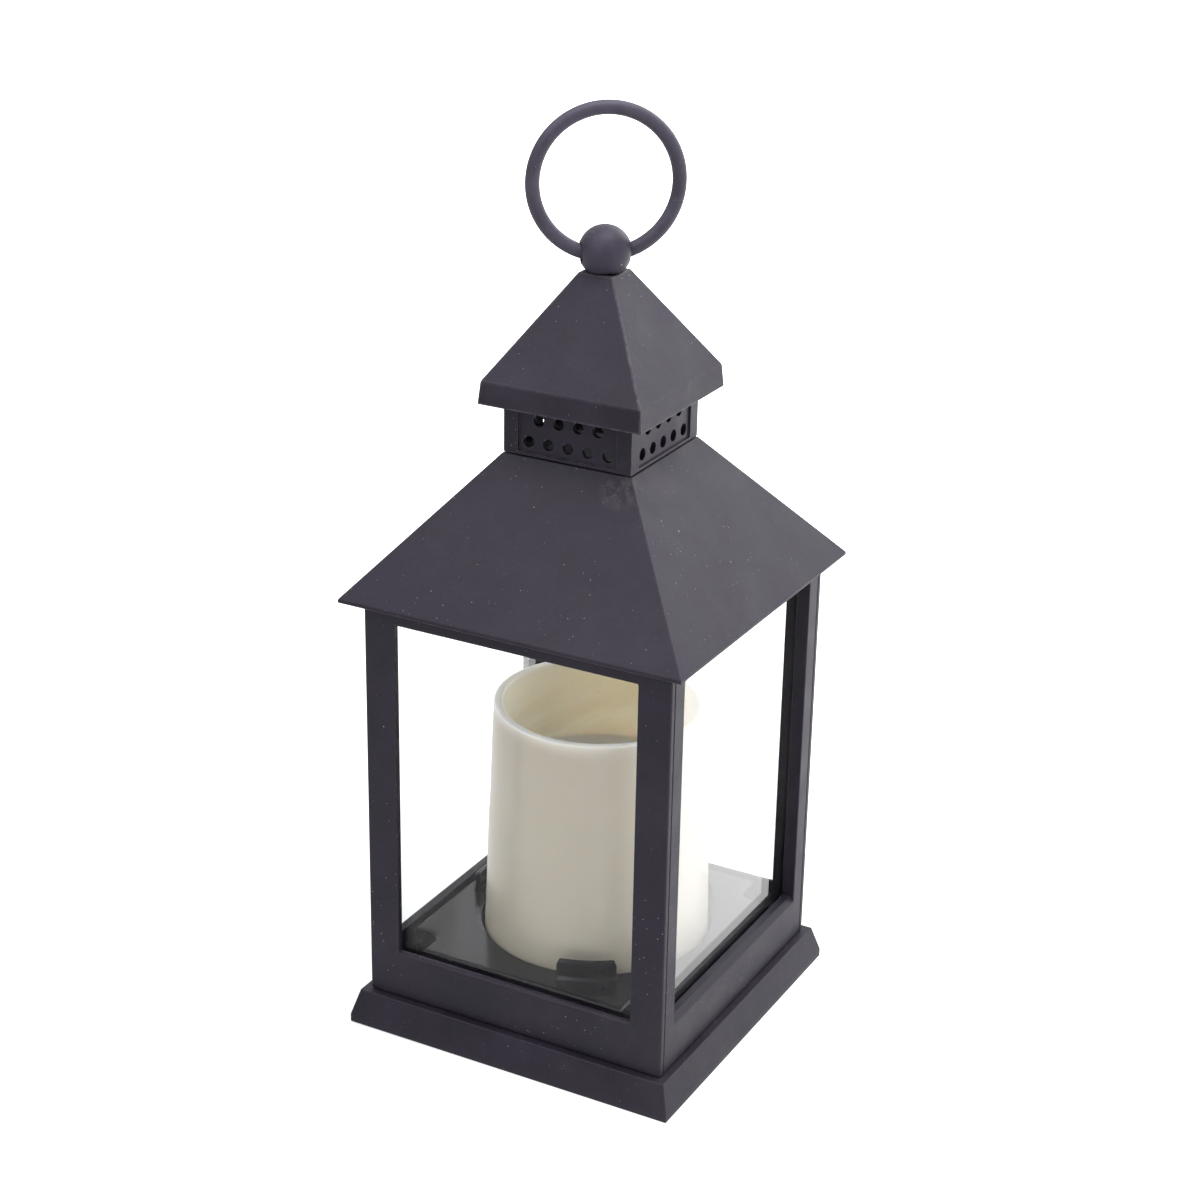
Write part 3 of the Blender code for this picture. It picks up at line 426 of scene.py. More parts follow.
def charcoal_plastic(name):
    """The battery unit's darker grey moulding with a fine spark-eroded grain."""
    p = Paint(name, IOR=1.48)
    mottle = p.noise(60.0, 4.0)
    base = p.mix(p.remap(mottle), (0.016, 0.016, 0.018), (0.027, 0.027, 0.030))
    # Paler edges: partly wear, partly a painted highlight.
    edge_wear_and_highlight = p.times(p.edges(0.3 * MM), 0.5)
    base = p.mix(edge_wear_and_highlight, base, (0.09, 0.09, 0.095))
    base = p.mix(p.times(p.speckle(900.0, 0.04, 0.3), 0.5), base, (0.3, 0.29, 0.28))
    p.set("Base Color", base)
    p.set("Roughness", p.remap(p.noise(300.0, 4.0), 0.3, 0.7, 0.34, 0.50))
    p.set("Normal", p.bump(p.noise(3600.0, 2.0), 0.04 * MM, 0.6))
    return p.material


def clear_plastic(name):
    """Clear pane: see-through, glossier at a slant, with a faint film of dust and wipes."""
    p = Paint(name)
    nodes = p.tree.nodes
    film = p.times(p.remap(p.noise(45.0, 5.0, 0.65), 0.45, 0.85), 0.005)
    wipe = p.noise(1.0, 4.0, 0.6, vector=p.stretched(60.0, 60.0, 14.0), distort=0.6)
    film = p.math("ADD", film, p.times(p.remap(wipe, 0.55, 0.78), 0.006))
    film = p.math("ADD", film, p.times(p.speckle(600.0, 0.04, 0.24), 0.10))
    film = p.math("ADD", film, 0.001)
    clear = nodes.new("ShaderNodeBsdfTransparent")
    clear.inputs["Color"].default_value = (0.985, 0.99, 0.988, 1.0)
    gloss = nodes.new("ShaderNodeBsdfGlossy")
    gloss.inputs["Roughness"].default_value = 0.03
    haze = nodes.new("ShaderNodeBsdfDiffuse")
    haze.inputs["Color"].default_value = (0.86, 0.88, 0.90, 1.0)
    slant = p.node("LayerWeight", {"Blend": 0.5}).outputs["Facing"]
    mirror = p.math("ADD", p.times(p.math("POWER", slant, 3.0), 0.80), 0.002)
    shine = p.node("MixShader", {0: mirror, 1: clear.outputs[0], 2: gloss.outputs[0]})
    both = p.node("MixShader", {0: film, 1: shine.outputs[0], 2: haze.outputs[0]})
    p.tree.links.new(both.outputs[0], nodes["Material Output"].inputs["Surface"])
    nodes.remove(p.shader)
    return p.material


def wax(name):
    """Ivory wax-look shell with long brush-like strokes in its cup; painted light makes the cup, the rim top and
    the top of the wall paler, and painted shade tints its foot.
    """
    p = Paint(name, IOR=1.45, Subsurface_Weight=0.65, Subsurface_Scale=6.0 * MM,
              Subsurface_Radius=(1.0, 0.76, 0.50))
    centred = p.node("Mapping", {"Vector": p.coords, "Location": (-UNIT.x, -UNIT.y, 0.0)})
    x, y = (p.axis(name, centred.outputs["Vector"]) for name in "XY")
    radius = p.math("SQRT", p.math("ADD", p.times(x, x), p.times(y, y)))
    inside = p.remap(radius, 29.6 * MM, 28.4 * MM)
    depth = p.remap(p.axis("Z"), CANDLE_TOP_Z - 1.0 * MM, CANDLE_TOP_Z - 24.0 * MM)
    strokes = p.noise(1.0, 5.0, 0.62, vector=p.stretched(210.0, 210.0, 16.0), distort=0.3)
    cloud = p.noise(26.0, 4.0, 0.55)
    outer = p.mix(p.remap(cloud), (0.455, 0.412, 0.347), (0.500, 0.457, 0.391))
    outer = p.mix(p.remap(strokes, 0.35, 0.75, 0.0, 0.22), outer, (0.43, 0.38, 0.30))
    turned_way = p.node("Mapping", {"Vector": p.coords, "Rotation": (0.0, 0.45, -0.5)})
    sweep = p.node("Mapping", {"Vector": turned_way.outputs["Vector"],
                               "Scale": (22.0, 60.0, 150.0)})
    brushed = p.noise(1.0, 4.0, 0.55, vector=sweep.outputs["Vector"], distort=0.5)
    # Painted light: the cup is painted far paler than the outside, standing in for light the deep cup does not
    # get; its brushed streaks are the wax's own.
    cup = p.mix(p.remap(brushed, 0.32, 0.68), (0.82, 0.77, 0.67), (0.97, 0.94, 0.87))
    cup = p.mix(depth, (0.90, 0.86, 0.76), cup)
    # Painted light: the top few millimetres of the outer wall are mixed paler, and the rim top is painted almost
    # white as a highlight.
    height = p.remap(p.axis("Z"), CANDLE_TOP_Z - 6.0 * MM, CANDLE_TOP_Z - 1.5 * MM)
    outer = p.mix(p.times(height, 0.5), outer, (0.60, 0.57, 0.52))
    rim = p.times(height, p.remap(radius, 31.05 * MM, 30.75 * MM))
    outer = p.mix(rim, outer, (0.97, 0.95, 0.90))
    colour = p.mix(inside, outer, cup)
    # Painted shade at the foot, where it meets the floor: the lowest few millimetres are mixed towards a deeper
    # brown.
    foot = p.remap(p.axis("Z"), FLOOR_Z + 5 * MM, FLOOR_Z - 1 * MM, 0.0, 0.35)
    colour = p.mix(foot, colour, (0.50, 0.44, 0.34))
    p.set("Base Color", colour)
    p.set("Roughness", p.remap(p.noise(60.0, 3.0), 0.3, 0.7, 0.31, 0.37))
    p.set("Normal", p.bump(strokes, 0.03 * MM, 0.25))
    return p.material


def plated_steel(name, colour=(0.60, 0.60, 0.58), rough=0.30):
    """Zinc or nickel plate with fine brushing and a little dulling."""
    p = Paint(name, Metallic=1.0)
    brush = p.noise(1.0, 3.0, 0.6, vector=p.stretched(900.0, 900.0, 9000.0))
    dull = p.noise(700.0, 5.0, 0.65)
    tint = tuple(0.55 * c for c in colour)
    p.set("Base Color", p.mix(p.remap(dull, 0.35, 0.75), colour, tint))
    p.set("Roughness", p.remap(dull, 0.3, 0.7, rough - 0.08, rough + 0.15))
    p.set("Normal", p.bump(brush, 0.01 * MM, 0.4))
    return p.material


def paper_label(name):
    """Blank white sticker: coated paper with faint fibres and faint grubby patches."""
    p = Paint(name, IOR=1.45)
    fibre = p.noise(1.0, 4.0, 0.6, vector=p.stretched(500.0, 2400.0, 500.0))
    grime = p.remap(p.noise(90.0, 5.0, 0.6), 0.55, 0.80, 0.0, 0.25)
    base = p.mix(p.remap(fibre), (0.80, 0.80, 0.79), (0.88, 0.88, 0.87))
    p.set("Base Color", p.mix(grime, base, (0.55, 0.54, 0.51)))
    p.set("Roughness", p.remap(fibre, 0.3, 0.7, 0.36, 0.52))
    p.set("Normal", p.bump(fibre, 0.02 * MM, 0.5))
    return p.material


def cell_sleeve(name, plus_side):
    """Sleeve of an AAA cell: dark body, coppery plus end, bare metal ends."""
    p = Paint(name)
    along = p.times(p.math("SUBTRACT", p.axis("X"), UNIT.x), float(plus_side))
    scuff = p.noise(500.0, 4.0, 0.6)
    body = p.mix(p.remap(scuff, 0.35, 0.7), (0.018, 0.018, 0.022), (0.035, 0.035, 0.040))
    copper = p.mix(p.remap(scuff, 0.35, 0.7), (0.62, 0.33, 0.14), (0.50, 0.26, 0.11))
    steel = p.mix(p.remap(scuff, 0.35, 0.7), (0.70, 0.70, 0.68), (0.52, 0.52, 0.50))
    colour = p.mix(p.math("GREATER_THAN", along, 11.0 * MM), body, copper)
    bare = p.math("MAXIMUM", p.math("GREATER_THAN", along, 22.6 * MM),
                  p.math("LESS_THAN", along, -19.7 * MM))
    p.set("Base Color", p.mix(bare, colour, steel))
    p.set("Metallic", p.remap(bare, 0.0, 1.0, 0.55, 1.0))
    p.set("Roughness", p.remap(scuff, 0.3, 0.7, 0.22, 0.36))
    p.set("Normal", p.bump(scuff, 0.01 * MM, 0.4))
    return p.material


def circuit_green(name):
    """Solder mask with copper tracks under it and bare pads."""
    p = Paint(name, IOR=1.5, Coat_Weight=0.4)
    weave = p.noise(2600.0, 2.0)
    tracks = p.node("TexBrick", {"Vector": p.coords, "Scale": 420.0, "Mortar Size": 0.10})
    mask = p.mix(p.remap(weave), (0.010, 0.085, 0.030), (0.016, 0.12, 0.042))
    mask = p.mix(p.times(tracks.outputs["Fac"], 0.6), mask, (0.03, 0.22, 0.08))
    pads = p.speckle(420.0, 0.16, 0.32)
    p.set("Base Color", p.mix(pads, mask, (0.62, 0.60, 0.56)))
    p.set("Metallic", pads)
    p.set("Roughness", p.remap(weave, 0.3, 0.7, 0.28, 0.42))
    p.set("Normal", p.bump(tracks.outputs["Fac"], 0.03 * MM, 0.5))
    return p.material


def led_epoxy(name):
    """Diffused warm epoxy of the flame LED."""
    p = Paint(name, IOR=1.52, Subsurface_Weight=0.6, Subsurface_Scale=1.5 * MM,
              Subsurface_Radius=(1.0, 0.8, 0.5), Coat_Weight=0.3)
    cloud = p.noise(900.0, 3.0)
    p.set("Base Color", p.mix(p.remap(cloud), (0.80, 0.62, 0.28), (0.90, 0.78, 0.50)))
    p.set("Roughness", p.remap(cloud, 0.3, 0.7, 0.14, 0.24))
    return p.material


def wire_sleeve(name, colour):
    """Soft insulation with slight streaks along it."""
    p = Paint(name, IOR=1.47)
    streak = p.noise(1.0, 3.0, 0.5, vector=p.stretched(2500.0, 400.0, 400.0))
    darker = tuple(0.6 * c for c in colour)
    p.set("Base Color", p.mix(p.remap(streak), colour, darker))
    p.set("Roughness", p.remap(streak, 0.3, 0.7, 0.36, 0.50))
    p.set("Normal", p.bump(streak, 0.01 * MM, 0.5))
    return p.material


def studio_white(name, grey):
    """Plain table with a soft glow that grows behind the lantern."""
    p = Paint(name, Roughness=0.85, Emission_Color=(1.0, 1.0, 1.0, 1.0))
    p.set("Base Color", p.greys(p.noise(6.0, 3.0), [(0.3, grey), (0.7, grey + 0.01)]))
    along = p.node("VectorMath", {0: p.coords, 1: GLOW_WAY}, operation="DOT_PRODUCT")
    p.set("Emission Strength", p.remap(along.outputs["Value"], *GLOW_REACH, *GLOW))
    return p.material


# ---- base and walls

SCREW_AT = centre_of("base_screw_4").x
POST_HOLE_AT, POST_HOLE_R = 37.2 * MM, 1.9 * MM
BASE_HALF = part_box("base_tray")[1].x
BASE_TOP_HALF, BASE_TOP_Z = 50.2 * MM, 10.5 * MM
SKIRT_EDGE_Z = 2.5 * MM  # the skirt is upright up to here
LEDGE_Z = 7.8 * MM  # underside of the ledge
CAVITY_HALF = (50.9 * MM, 49.3 * MM)  # inside the skirt, below and above
FLOOR_EDGE = 1.2 * MM  # radius of the candle floor's edge
FLOOR_HALF = (41.9 * MM, 43.4 * MM)
FLOOR_NOTCH = 33.0 * MM  # where its corners are cut away
EAR_RADIUS = 4.2 * MM
MOUTH_HALF, EAR_EDGE = 43.9 * MM, 32.8 * MM  # the hollow at the ledge
WALL = 1.5 * MM
WELL_R = 34.4 * MM
TAB_ANGLES = (-64.0, 56.0, 176.0)
TAB_R = (36.6 * MM, 38.2 * MM)
TAB_HALF_ANGLE = 13.2
TAB_TOP_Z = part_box("base_tray")[1].z
HANGER_ANGLES = (112.0, 226.0, 302.0)  # lugs that carry the battery drum
HANGER_R = 32.1 * MM


def make_base(mat, gloss):
    """Skirt, ledge, ears, raised floor, candle well, hangers and retaining tabs."""
    skirt = [(BASE_HALF, 0.0), (BASE_HALF, SKIRT_EDGE_Z), (BASE_TOP_HALF, BASE_TOP_Z)]
    base = built("base_fine", lambda bm: square_stack(bm, skirt), mat)
    half_x, half_y = FLOOR_HALF

    def raised_floor(bm):
        steps = 6
        levels = [(0.0, BASE_TOP_Z - 0.5 * MM), (0.0, FLOOR_Z - FLOOR_EDGE)]
        for i in range(1, steps + 1):
            a = pi / 2 * i / steps
            levels.append((FLOOR_EDGE * (1 - cos(a)),
                           FLOOR_Z - FLOOR_EDGE * (1 - sin(a))))
        plus_stack(bm, [(half_x - inset, half_y - inset, FLOOR_NOTCH - inset, z)
                        for inset, z in levels], EAR_RADIUS)
    join(base, raised_floor)

    def skirt_cavity(bm):
        below, above = CAVITY_HALF
        square_stack(bm, [(below, -MM), (below, 0.2 * MM), (above, LEDGE_Z)])
    cut(base, skirt_cavity)

    def underside_hollow(bm):
        ledge_top = BASE_TOP_Z - 1.2 * MM
        mouth = (MOUTH_HALF, MOUTH_HALF, EAR_EDGE)
        room = (half_x - WALL, half_y - WALL, FLOOR_NOTCH - WALL)
        plus_stack(bm, [(*mouth, 0.0), (*mouth, ledge_top), (*room, ledge_top + 0.1 * MM),
                        (*room, FLOOR_Z - WALL)], EAR_RADIUS)
    cut(base, underside_hollow)

    collar_z = (FLOOR_Z - 5.5 * MM, FLOOR_Z - 0.5 * MM)
    lip_z = (HOUSING_Z - 1.4 * MM, HOUSING_Z - 0.3 * MM)
    collar_r = WELL_R + WALL
    join(base, lambda bm: cylinder(bm, UNIT, collar_r, *collar_z, ROUND))
    for angle in HANGER_ANGLES:
        join(base, lambda bm: arc_block(bm, (WELL_R - 0.4 * MM, collar_r - 0.2 * MM), angle,
                                        15.0, lip_z[0] + 0.3 * MM, collar_z[0] + 0.5 * MM))
    cut(base, lambda bm: cylinder(bm, UNIT, WELL_R, lip_z[0] - MM, FLOOR_Z + MM, ROUND))
    for angle in HANGER_ANGLES:
        join(base, lambda bm: arc_block(bm, (HANGER_R, collar_r - 0.5 * MM), angle, 14.5,
                                        *lip_z))
    for at in corners(SCREW_AT):
        join(base, lambda bm: cylinder(bm, at, 5.8 * MM, 4.8 * MM, LEDGE_Z + 0.5 * MM, FINE))
    head_r, shank_r, seat_z = 4.5 * MM, 1.65 * MM, 8.9 * MM
    screw_hole = [(head_r, 0.0), (head_r, seat_z), (shank_r, seat_z),
                  (shank_r, BASE_TOP_Z + MM)]
    for at in corners(SCREW_AT):
        cut(base, lambda bm: turned(bm, screw_hole, FINE, at))
    for at in corners(POST_HOLE_AT):
        cut(base, lambda bm: cylinder(bm, at, POST_HOLE_R, 0.0, BASE_TOP_Z + MM, 24))
    tidy_faces(base)
    soften(base, 0.28 * MM, 3, 40.0)
    base.data.materials.append(gloss)
    for face in base.data.polygons:
        face.material_index = int(face.center.z > FLOOR_Z - 1.5 * FLOOR_EDGE)
    for angle in TAB_ANGLES:
        tab = built("tab_%d" % round(angle % 360), lambda bm: retaining_tab(bm, angle), gloss)
        soften(tab)
        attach(tab, BODY_OF["base_tray"])
    return place(base, "base_tray")


def retaining_tab(bm, angle):
    """An upright curved tab: a foot bead below, all its upper edges rounded."""
    inner, outer = TAB_R
    foot = FLOOR_Z - 0.02 * MM
    side = rounded([(inner - 0.9 * MM, foot), (inner, foot + 1.0 * MM), (inner, TAB_TOP_Z),
                    (outer, TAB_TOP_Z), (outer, foot + 1.0 * MM), (outer + 0.9 * MM, foot)],
                   0.7 * MM, 5, ends=False)
    steps, end_share, end_drop = 28, 0.14, 1.6 * MM
    middle = (inner + outer) / 2
    loops = []
    for i in range(steps + 1):
        s = -1 + 2 * i / steps
        a = radians(angle + TAB_HALF_ANGLE * s)
        over = max(0.0, abs(s) - (1 - end_share)) / end_share
        drop = end_drop * (1 - sqrt(max(0.0, 1 - over * over)))
        thin = 1 - 0.5 * over ** 4
        loop = []
        for r, z in side:
            r = middle + (r - middle) * thin
            z = min(z, TAB_TOP_Z - drop) if z > foot + 1.5 * MM else z
            loop.append((r * cos(a), r * sin(a), z))
        loops.append(loop)
    add_loops(bm, loops)


def make_vent_neck(mat):
    """Square chimney: recessed panels with two staggered rows of round holes."""
    low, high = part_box("vent_neck")
    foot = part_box("roof")[1].z + 0.3 * MM
    half, flange_half, tongue, bore = 19.8 * MM, high.x, 16.7 * MM, 15.2 * MM
    flange_z = high.z - 1.4 * MM
    recess, skin, panel_half = 0.6 * MM, 1.6 * MM, 15.2 * MM
    rows, pitch, hole_r = ((178.7 * MM, 5), (185.15 * MM, 4)), 6.1 * MM, 1.7 * MM
    profile = [(tongue, low.z), (tongue, foot), (half, foot), (half, flange_z),
               (flange_half, flange_z), (flange_half, high.z), (bore, high.z), (bore, low.z)]
    neck = built("vent_neck_fine", lambda bm: square_stack(bm, profile, True), mat)
    inner = half - recess - skin
    cut(neck, lambda bm: square_stack(bm, [(inner, foot + 1.4 * MM),
                                           (inner, flange_z - 1.2 * MM)]))

    def panel(bm, degrees):
        box(bm, (-panel_half, -half - MM, foot + 0.9 * MM),
            (panel_half, -half + recess, flange_z - 1.0 * MM))
        turn_about_z(bm, radians(degrees))

    def drills(bm, degrees):
        for z, count in rows:
            for i in range(count):
                loop = circle(hole_r, 28, ((i - (count - 1) / 2) * pitch, z))
                add_loops(bm, [[(u, y, v) for u, v in loop] for y in (-half - MM, half + MM)])
        turn_about_z(bm, radians(degrees))
    for degrees in (0, 90, 180, 270):
        cut(neck, lambda bm: panel(bm, degrees))
    for degrees in (0, 90):
        cut(neck, lambda bm: drills(bm, degrees))
    tidy_faces(neck)
    soften(neck, 0.16 * MM, 2)
    return place(neck, "vent_neck")


# ---- finial and ring

BALL_R = 7.3 * MM
BALL_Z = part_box("finial_ball")[1].z - BALL_R + 0.05 * MM
BORE_R = 3.0 * MM  # the cross bore that the ring lies in
SPIGOT_R, SCREW_HOLE_R, SCREW_HOLE_END = 3.0 * MM, 1.3 * MM, 3.7 * MM
RING_R = 19.9  # in millimetres
WIRE_R, MOULD_LINE = 1.95 * MM, 0.05 * MM
RING_RISE = 19.1 * MM  # from the hinge to the ring's middle


def make_finial(mat, steel):
    """Ball with its moulding nub and cross bore, and the screw under it."""
    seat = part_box("cap")[1].z + 0.3 * MM
    spigot_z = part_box("finial_ball")[0].z
    start = acos((BALL_Z - seat) / BALL_R)
    steps = 40
    profile = [(SPIGOT_R, spigot_z), (SPIGOT_R, seat)]
    for i in range(steps):
        a = start + (pi - start) * i / steps
        profile.append((BALL_R * sin(a), BALL_Z - BALL_R * cos(a)))
    profile += [(0.9 * MM, BALL_Z + BALL_R - 0.06 * MM),
                (0.2 * MM, BALL_Z + BALL_R - 0.05 * MM)]
    profile.sort(key=lambda point: point[1])
    ball = built("finial_ball_fine", lambda bm: turned(bm, profile, 64), mat)

    def ring_bore(bm):
        loop = circle(BORE_R, 40, (0.0, BORE_Z))
        add_loops(bm, [[(x, y, z) for y, z in loop] for x in (-9 * MM, 9 * MM)])
        turn_about_z(bm, HINGE_TURN)
    cut(ball, ring_bore)
    cut(ball, lambda bm: cylinder(bm, (0, 0), SCREW_HOLE_R, spigot_z - MM,
                                  BALL_Z - SCREW_HOLE_END, 24))
    tidy_faces(ball)
    soften(ball, 0.18 * MM, 2, 55.0)
    place(ball, "finial_ball")

    low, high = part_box("finial_screw")
    head_top = spigot_z - 0.3 * MM
    head_r, washer_r = 2.6 * MM, 4.6 * MM
    outline = rounded([(2.2 * MM, low.z), (head_r, low.z + 0.4 * MM), (head_r, head_top - MM),
                       (washer_r, head_top - MM), (washer_r, head_top), (MM, head_top),
                       (MM, high.z - 0.8 * MM), (0.3 * MM, high.z)], 0.12 * MM, 3, ends=False)
    screw = built("finial_screw_fine", lambda bm: turned(bm, outline, 48), steel)
    cut(screw, lambda bm: cross_recess(bm, (0, 0), low.z, 1.4 * MM, 1.0 * MM))
    soften(screw)
    place(screw, "finial_screw")


def make_ring(mat):
    """Round wire ring with a fine mould line round its middle."""
    major, minor = 160, 32
    bm = bmesh.new()
    loops = []
    middle_z = BORE_Z + RING_RISE
    for i in range(major):
        a = 2 * pi * i / major
        out = Vector((cos(a), 0.0, sin(a)))
        middle = out * RING_R * MM + Vector((0.0, 0.0, middle_z))
        loop = []
        for j in range(minor):
            b = 2 * pi * j / minor
            wire = WIRE_R + (MOULD_LINE if j in (0, minor // 2) else 0.0)
            loop.append(middle + out * (wire * cos(b))
                        + Vector((0.0, wire * sin(b), 0.0)))
        loops.append(loop)
    add_loops(bm, loops, True)
    turn_about_z(bm, HINGE_TURN)
    ring = new_object("ring_fine", bm, mat)
    soften(ring)
    place(ring, "hanging_ring")


# ---- screws

def cross_recess(bm, at, head_z, reach, depth):
    """A cross-shaped driver recess that tapers as it goes in."""
    loops = []
    for z, scale in ((head_z - 0.2 * MM, 1.08), (head_z + 0.5 * depth, 0.9),
                     (head_z + depth, 0.5)):
        arm, tip = 0.30 * reach * scale, reach * scale
        loop = []
        for turn in range(4):
            c, s = round(cos(turn * pi / 2)), round(sin(turn * pi / 2))
            for u, v in ((arm, -tip), (arm, -arm), (tip, -arm)):
                loop.append((at[0] + u * c - v * s, at[1] + u * s + v * c, z))
        loops.append(loop)
    add_loops(bm, loops)


def make_screw(node, head_r, head_h, shank_r, recess, steel):
    """Pan-head self-tapping screw with a rolled thread."""
    low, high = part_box(node)
    at = centre_of(node).to_2d()
    z = low.z
    profile = rounded([(head_r * 0.72, z), (head_r, z + 0.45 * head_h), (head_r, z + head_h),
                       (shank_r, z + head_h)], 0.3 * head_h, 5, ends=False)
    pitch = 0.9 * shank_r
    thread_z = z + head_h + 0.5 * pitch
    while thread_z + pitch < high.z - 1.2 * shank_r:
        profile += [(0.78 * shank_r, thread_z), (0.78 * shank_r, thread_z + 0.4 * pitch),
                    (shank_r, thread_z + 0.7 * pitch)]
        thread_z += pitch
    profile += [(0.75 * shank_r, thread_z), (0.2 * shank_r, high.z)]
    screw = built(node + "_fine", lambda bm: turned(bm, profile, FINE, at), steel)
    cut(screw, lambda bm: cross_recess(bm, at, z, *recess))
    soften(screw)
    place(screw, node)


# ---- candle unit

def make_candle(mat):
    """The shell: a slightly uneven rim, a deep cup and gently wavy walls."""
    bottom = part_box("candle_shell")[0].z
    cup_z = 72.0 * MM
    top = CANDLE_TOP_Z
    # radii in mm, heights in m
    foot_r, taper, straight, inside_r = 33.4, 2.3, 0.14, 27.9
    rows = [(33.35, bottom + 0.3 * MM), (foot_r, bottom + 0.9 * MM)]
    rows += [(foot_r - taper * max(0.0, t - straight) / (1 - straight),
              bottom + MM + t * (top - 4.2 * MM - bottom - MM))
             for t in (i / 34 for i in range(1, 35))]
    outside = rows[-1][0]
    rim_z = top / MM - 0.5
    rim = [(outside, rim_z - 3.2), (outside - 0.1, rim_z), (inside_r + 0.3, rim_z - 0.5),
           (inside_r, rim_z - 3.6)]
    rows += [(r, z * MM) for r, z in rounded(rim, 1.15, 7, ends=False)]
    rows += [(27.85 - 0.4 * t, top - 4.4 * MM - t * (top - 4.4 * MM - cup_z - 2 * MM))
             for t in (i / 12 for i in range(1, 13))]
    rows += [(27.4 - 1.4 * (1 - cos(a)), cup_z + 1.9 * MM - 1.4 * MM * sin(a))
             for a in (pi / 2 * i / 8 for i in range(1, 9))]
    rows += [(20.0, cup_z + 0.4 * MM), (10.0, cup_z + 0.1 * MM), (3.1, cup_z),
             (3.0, cup_z - 0.3 * MM), (3.0, cup_z - 1.8 * MM), (26.0, cup_z - 1.8 * MM),
             (29.6, cup_z - 5 * MM), (31.9, DECK_Z + 2 * MM), (31.9, bottom + 0.3 * MM),
             (32.2, bottom), (33.1, bottom)]
    around, waved = 144, 12 * MM
    loops = []
    for r, z in rows:
        loop = []
        for i in range(around):
            a = 2 * pi * i / around
            lift = 0.0
            swell = 0.0
            if z > top - waved and r > 25:
                rise = min(1.0, (z - top + waved) / (9 * MM))
                wave = (0.55 * cos(a - radians(205)) + 0.30 * cos(2 * a + 0.6)
                        + 0.15 * cos(3 * a + 2.1))
                lift = rise * (wave - 1.0) * 0.75 * MM
            if z > FLOOR_Z + 2 * MM and r > 27:
                spot = Vector((1.3 * cos(a), 1.3 * sin(a), z / MM / 22))
                swell = 0.16 * noise.noise(spot)
            loop.append((UNIT.x + (r + swell) * MM * cos(a),
                         UNIT.y + (r + swell) * MM * sin(a), z + lift))
        loops.append(loop)
    candle = built("candle_fine", lambda bm: add_loops(bm, loops, True), mat)
    soften(candle)
    place(candle, "candle_shell")


def unit_box(bm, low, high):
    """A box given relative to the candle's axis, in millimetres."""
    box(bm, (UNIT.x + low[0] * MM, UNIT.y + low[1] * MM, low[2] * MM),
        (UNIT.x + high[0] * MM, UNIT.y + high[1] * MM, high[2] * MM))


def unit_at(x, y):
    return (UNIT.x + x * MM, UNIT.y + y * MM)


DOOR_LOBE = (27.1, 12.4)
SWITCH_Y = -22.0


def make_housing(mat):
    """Battery drum, its bottom plate with the switch slots and moulding marks."""
    z0, deck = HOUSING_Z / MM, DECK_Z / MM
    plate = z0 + 1.6
    plate_r, drum_r, inside_r = 33.0 * MM, 31.6 * MM, 30.1 * MM
    profile = [(32.7 * MM, HOUSING_Z), (plate_r, HOUSING_Z + 0.3 * MM), (plate_r, plate * MM),
               (drum_r, plate * MM), (drum_r, DECK_Z)]
    drum = built("housing_fine", lambda bm: turned(bm, profile, ROUND, UNIT), mat)
    cut(drum, lambda bm: cylinder(bm, UNIT, inside_r, plate * MM, (deck - 1.5) * MM, ROUND))
    join(drum, lambda bm: unit_box(bm, (-26.4, -17.3, plate - 0.4), (26.4, 17.3, deck - 1.1)))
    join(drum, lambda bm: cylinder(bm, unit_at(*DOOR_LOBE), 1.6 * MM, (plate - 0.2) * MM,
                                   22 * MM))
    bay = ((-25.4, -16.3, 25.4, 16.3, 24.4), (-27.0, -17.3, 27.0, 17.3, plate + 0.1),
           (0.0, -5.6, 29.6, 5.6, plate + 0.1))
    slots = ((-5.1, SWITCH_Y - 1.7, 5.1, SWITCH_Y + 1.7, plate + 0.2),
             (-2.3, SWITCH_Y - 3.8, 2.3, SWITCH_Y + 3.8, plate + 0.2),
             (-3.2, 25.6, 3.2, 29.8, plate + 0.2))
    for x0, y0, x1, y1, top in bay:
        cut(drum, lambda bm: unit_box(bm, (x0, y0, z0 - 1), (x1, y1, top)))
    cut(drum, lambda bm: cylinder(bm, unit_at(*DOOR_LOBE), 3.0 * MM, (z0 - 1) * MM,
                                  (plate + 0.1) * MM))
    cut(drum, lambda bm: cylinder(bm, unit_at(*DOOR_LOBE), 1.0 * MM, z0 * MM, 21 * MM, 20))
    for x0, y0, x1, y1, top in slots:
        cut(drum, lambda bm: unit_box(bm, (x0, y0, z0 - 1), (x1, y1, top)))
    wire_hole = unit_at(0, -21)
    cut(drum, lambda bm: cylinder(bm, wire_hole, 3.0 * MM, (deck - 3) * MM, (deck + 1) * MM))
    for x, y in ((-18.8, -22.0), (18.8, -22.0), (-18.8, 22.0), (18.8, 22.0)):
        cut(drum, lambda bm: cylinder(bm, unit_at(x, y), 2.6 * MM, (z0 - 1) * MM,
                                      (z0 + 0.12) * MM))
    tidy_faces(drum)
    soften(drum, 0.14 * MM, 2, 45.0)
    place(drum, "battery_housing")


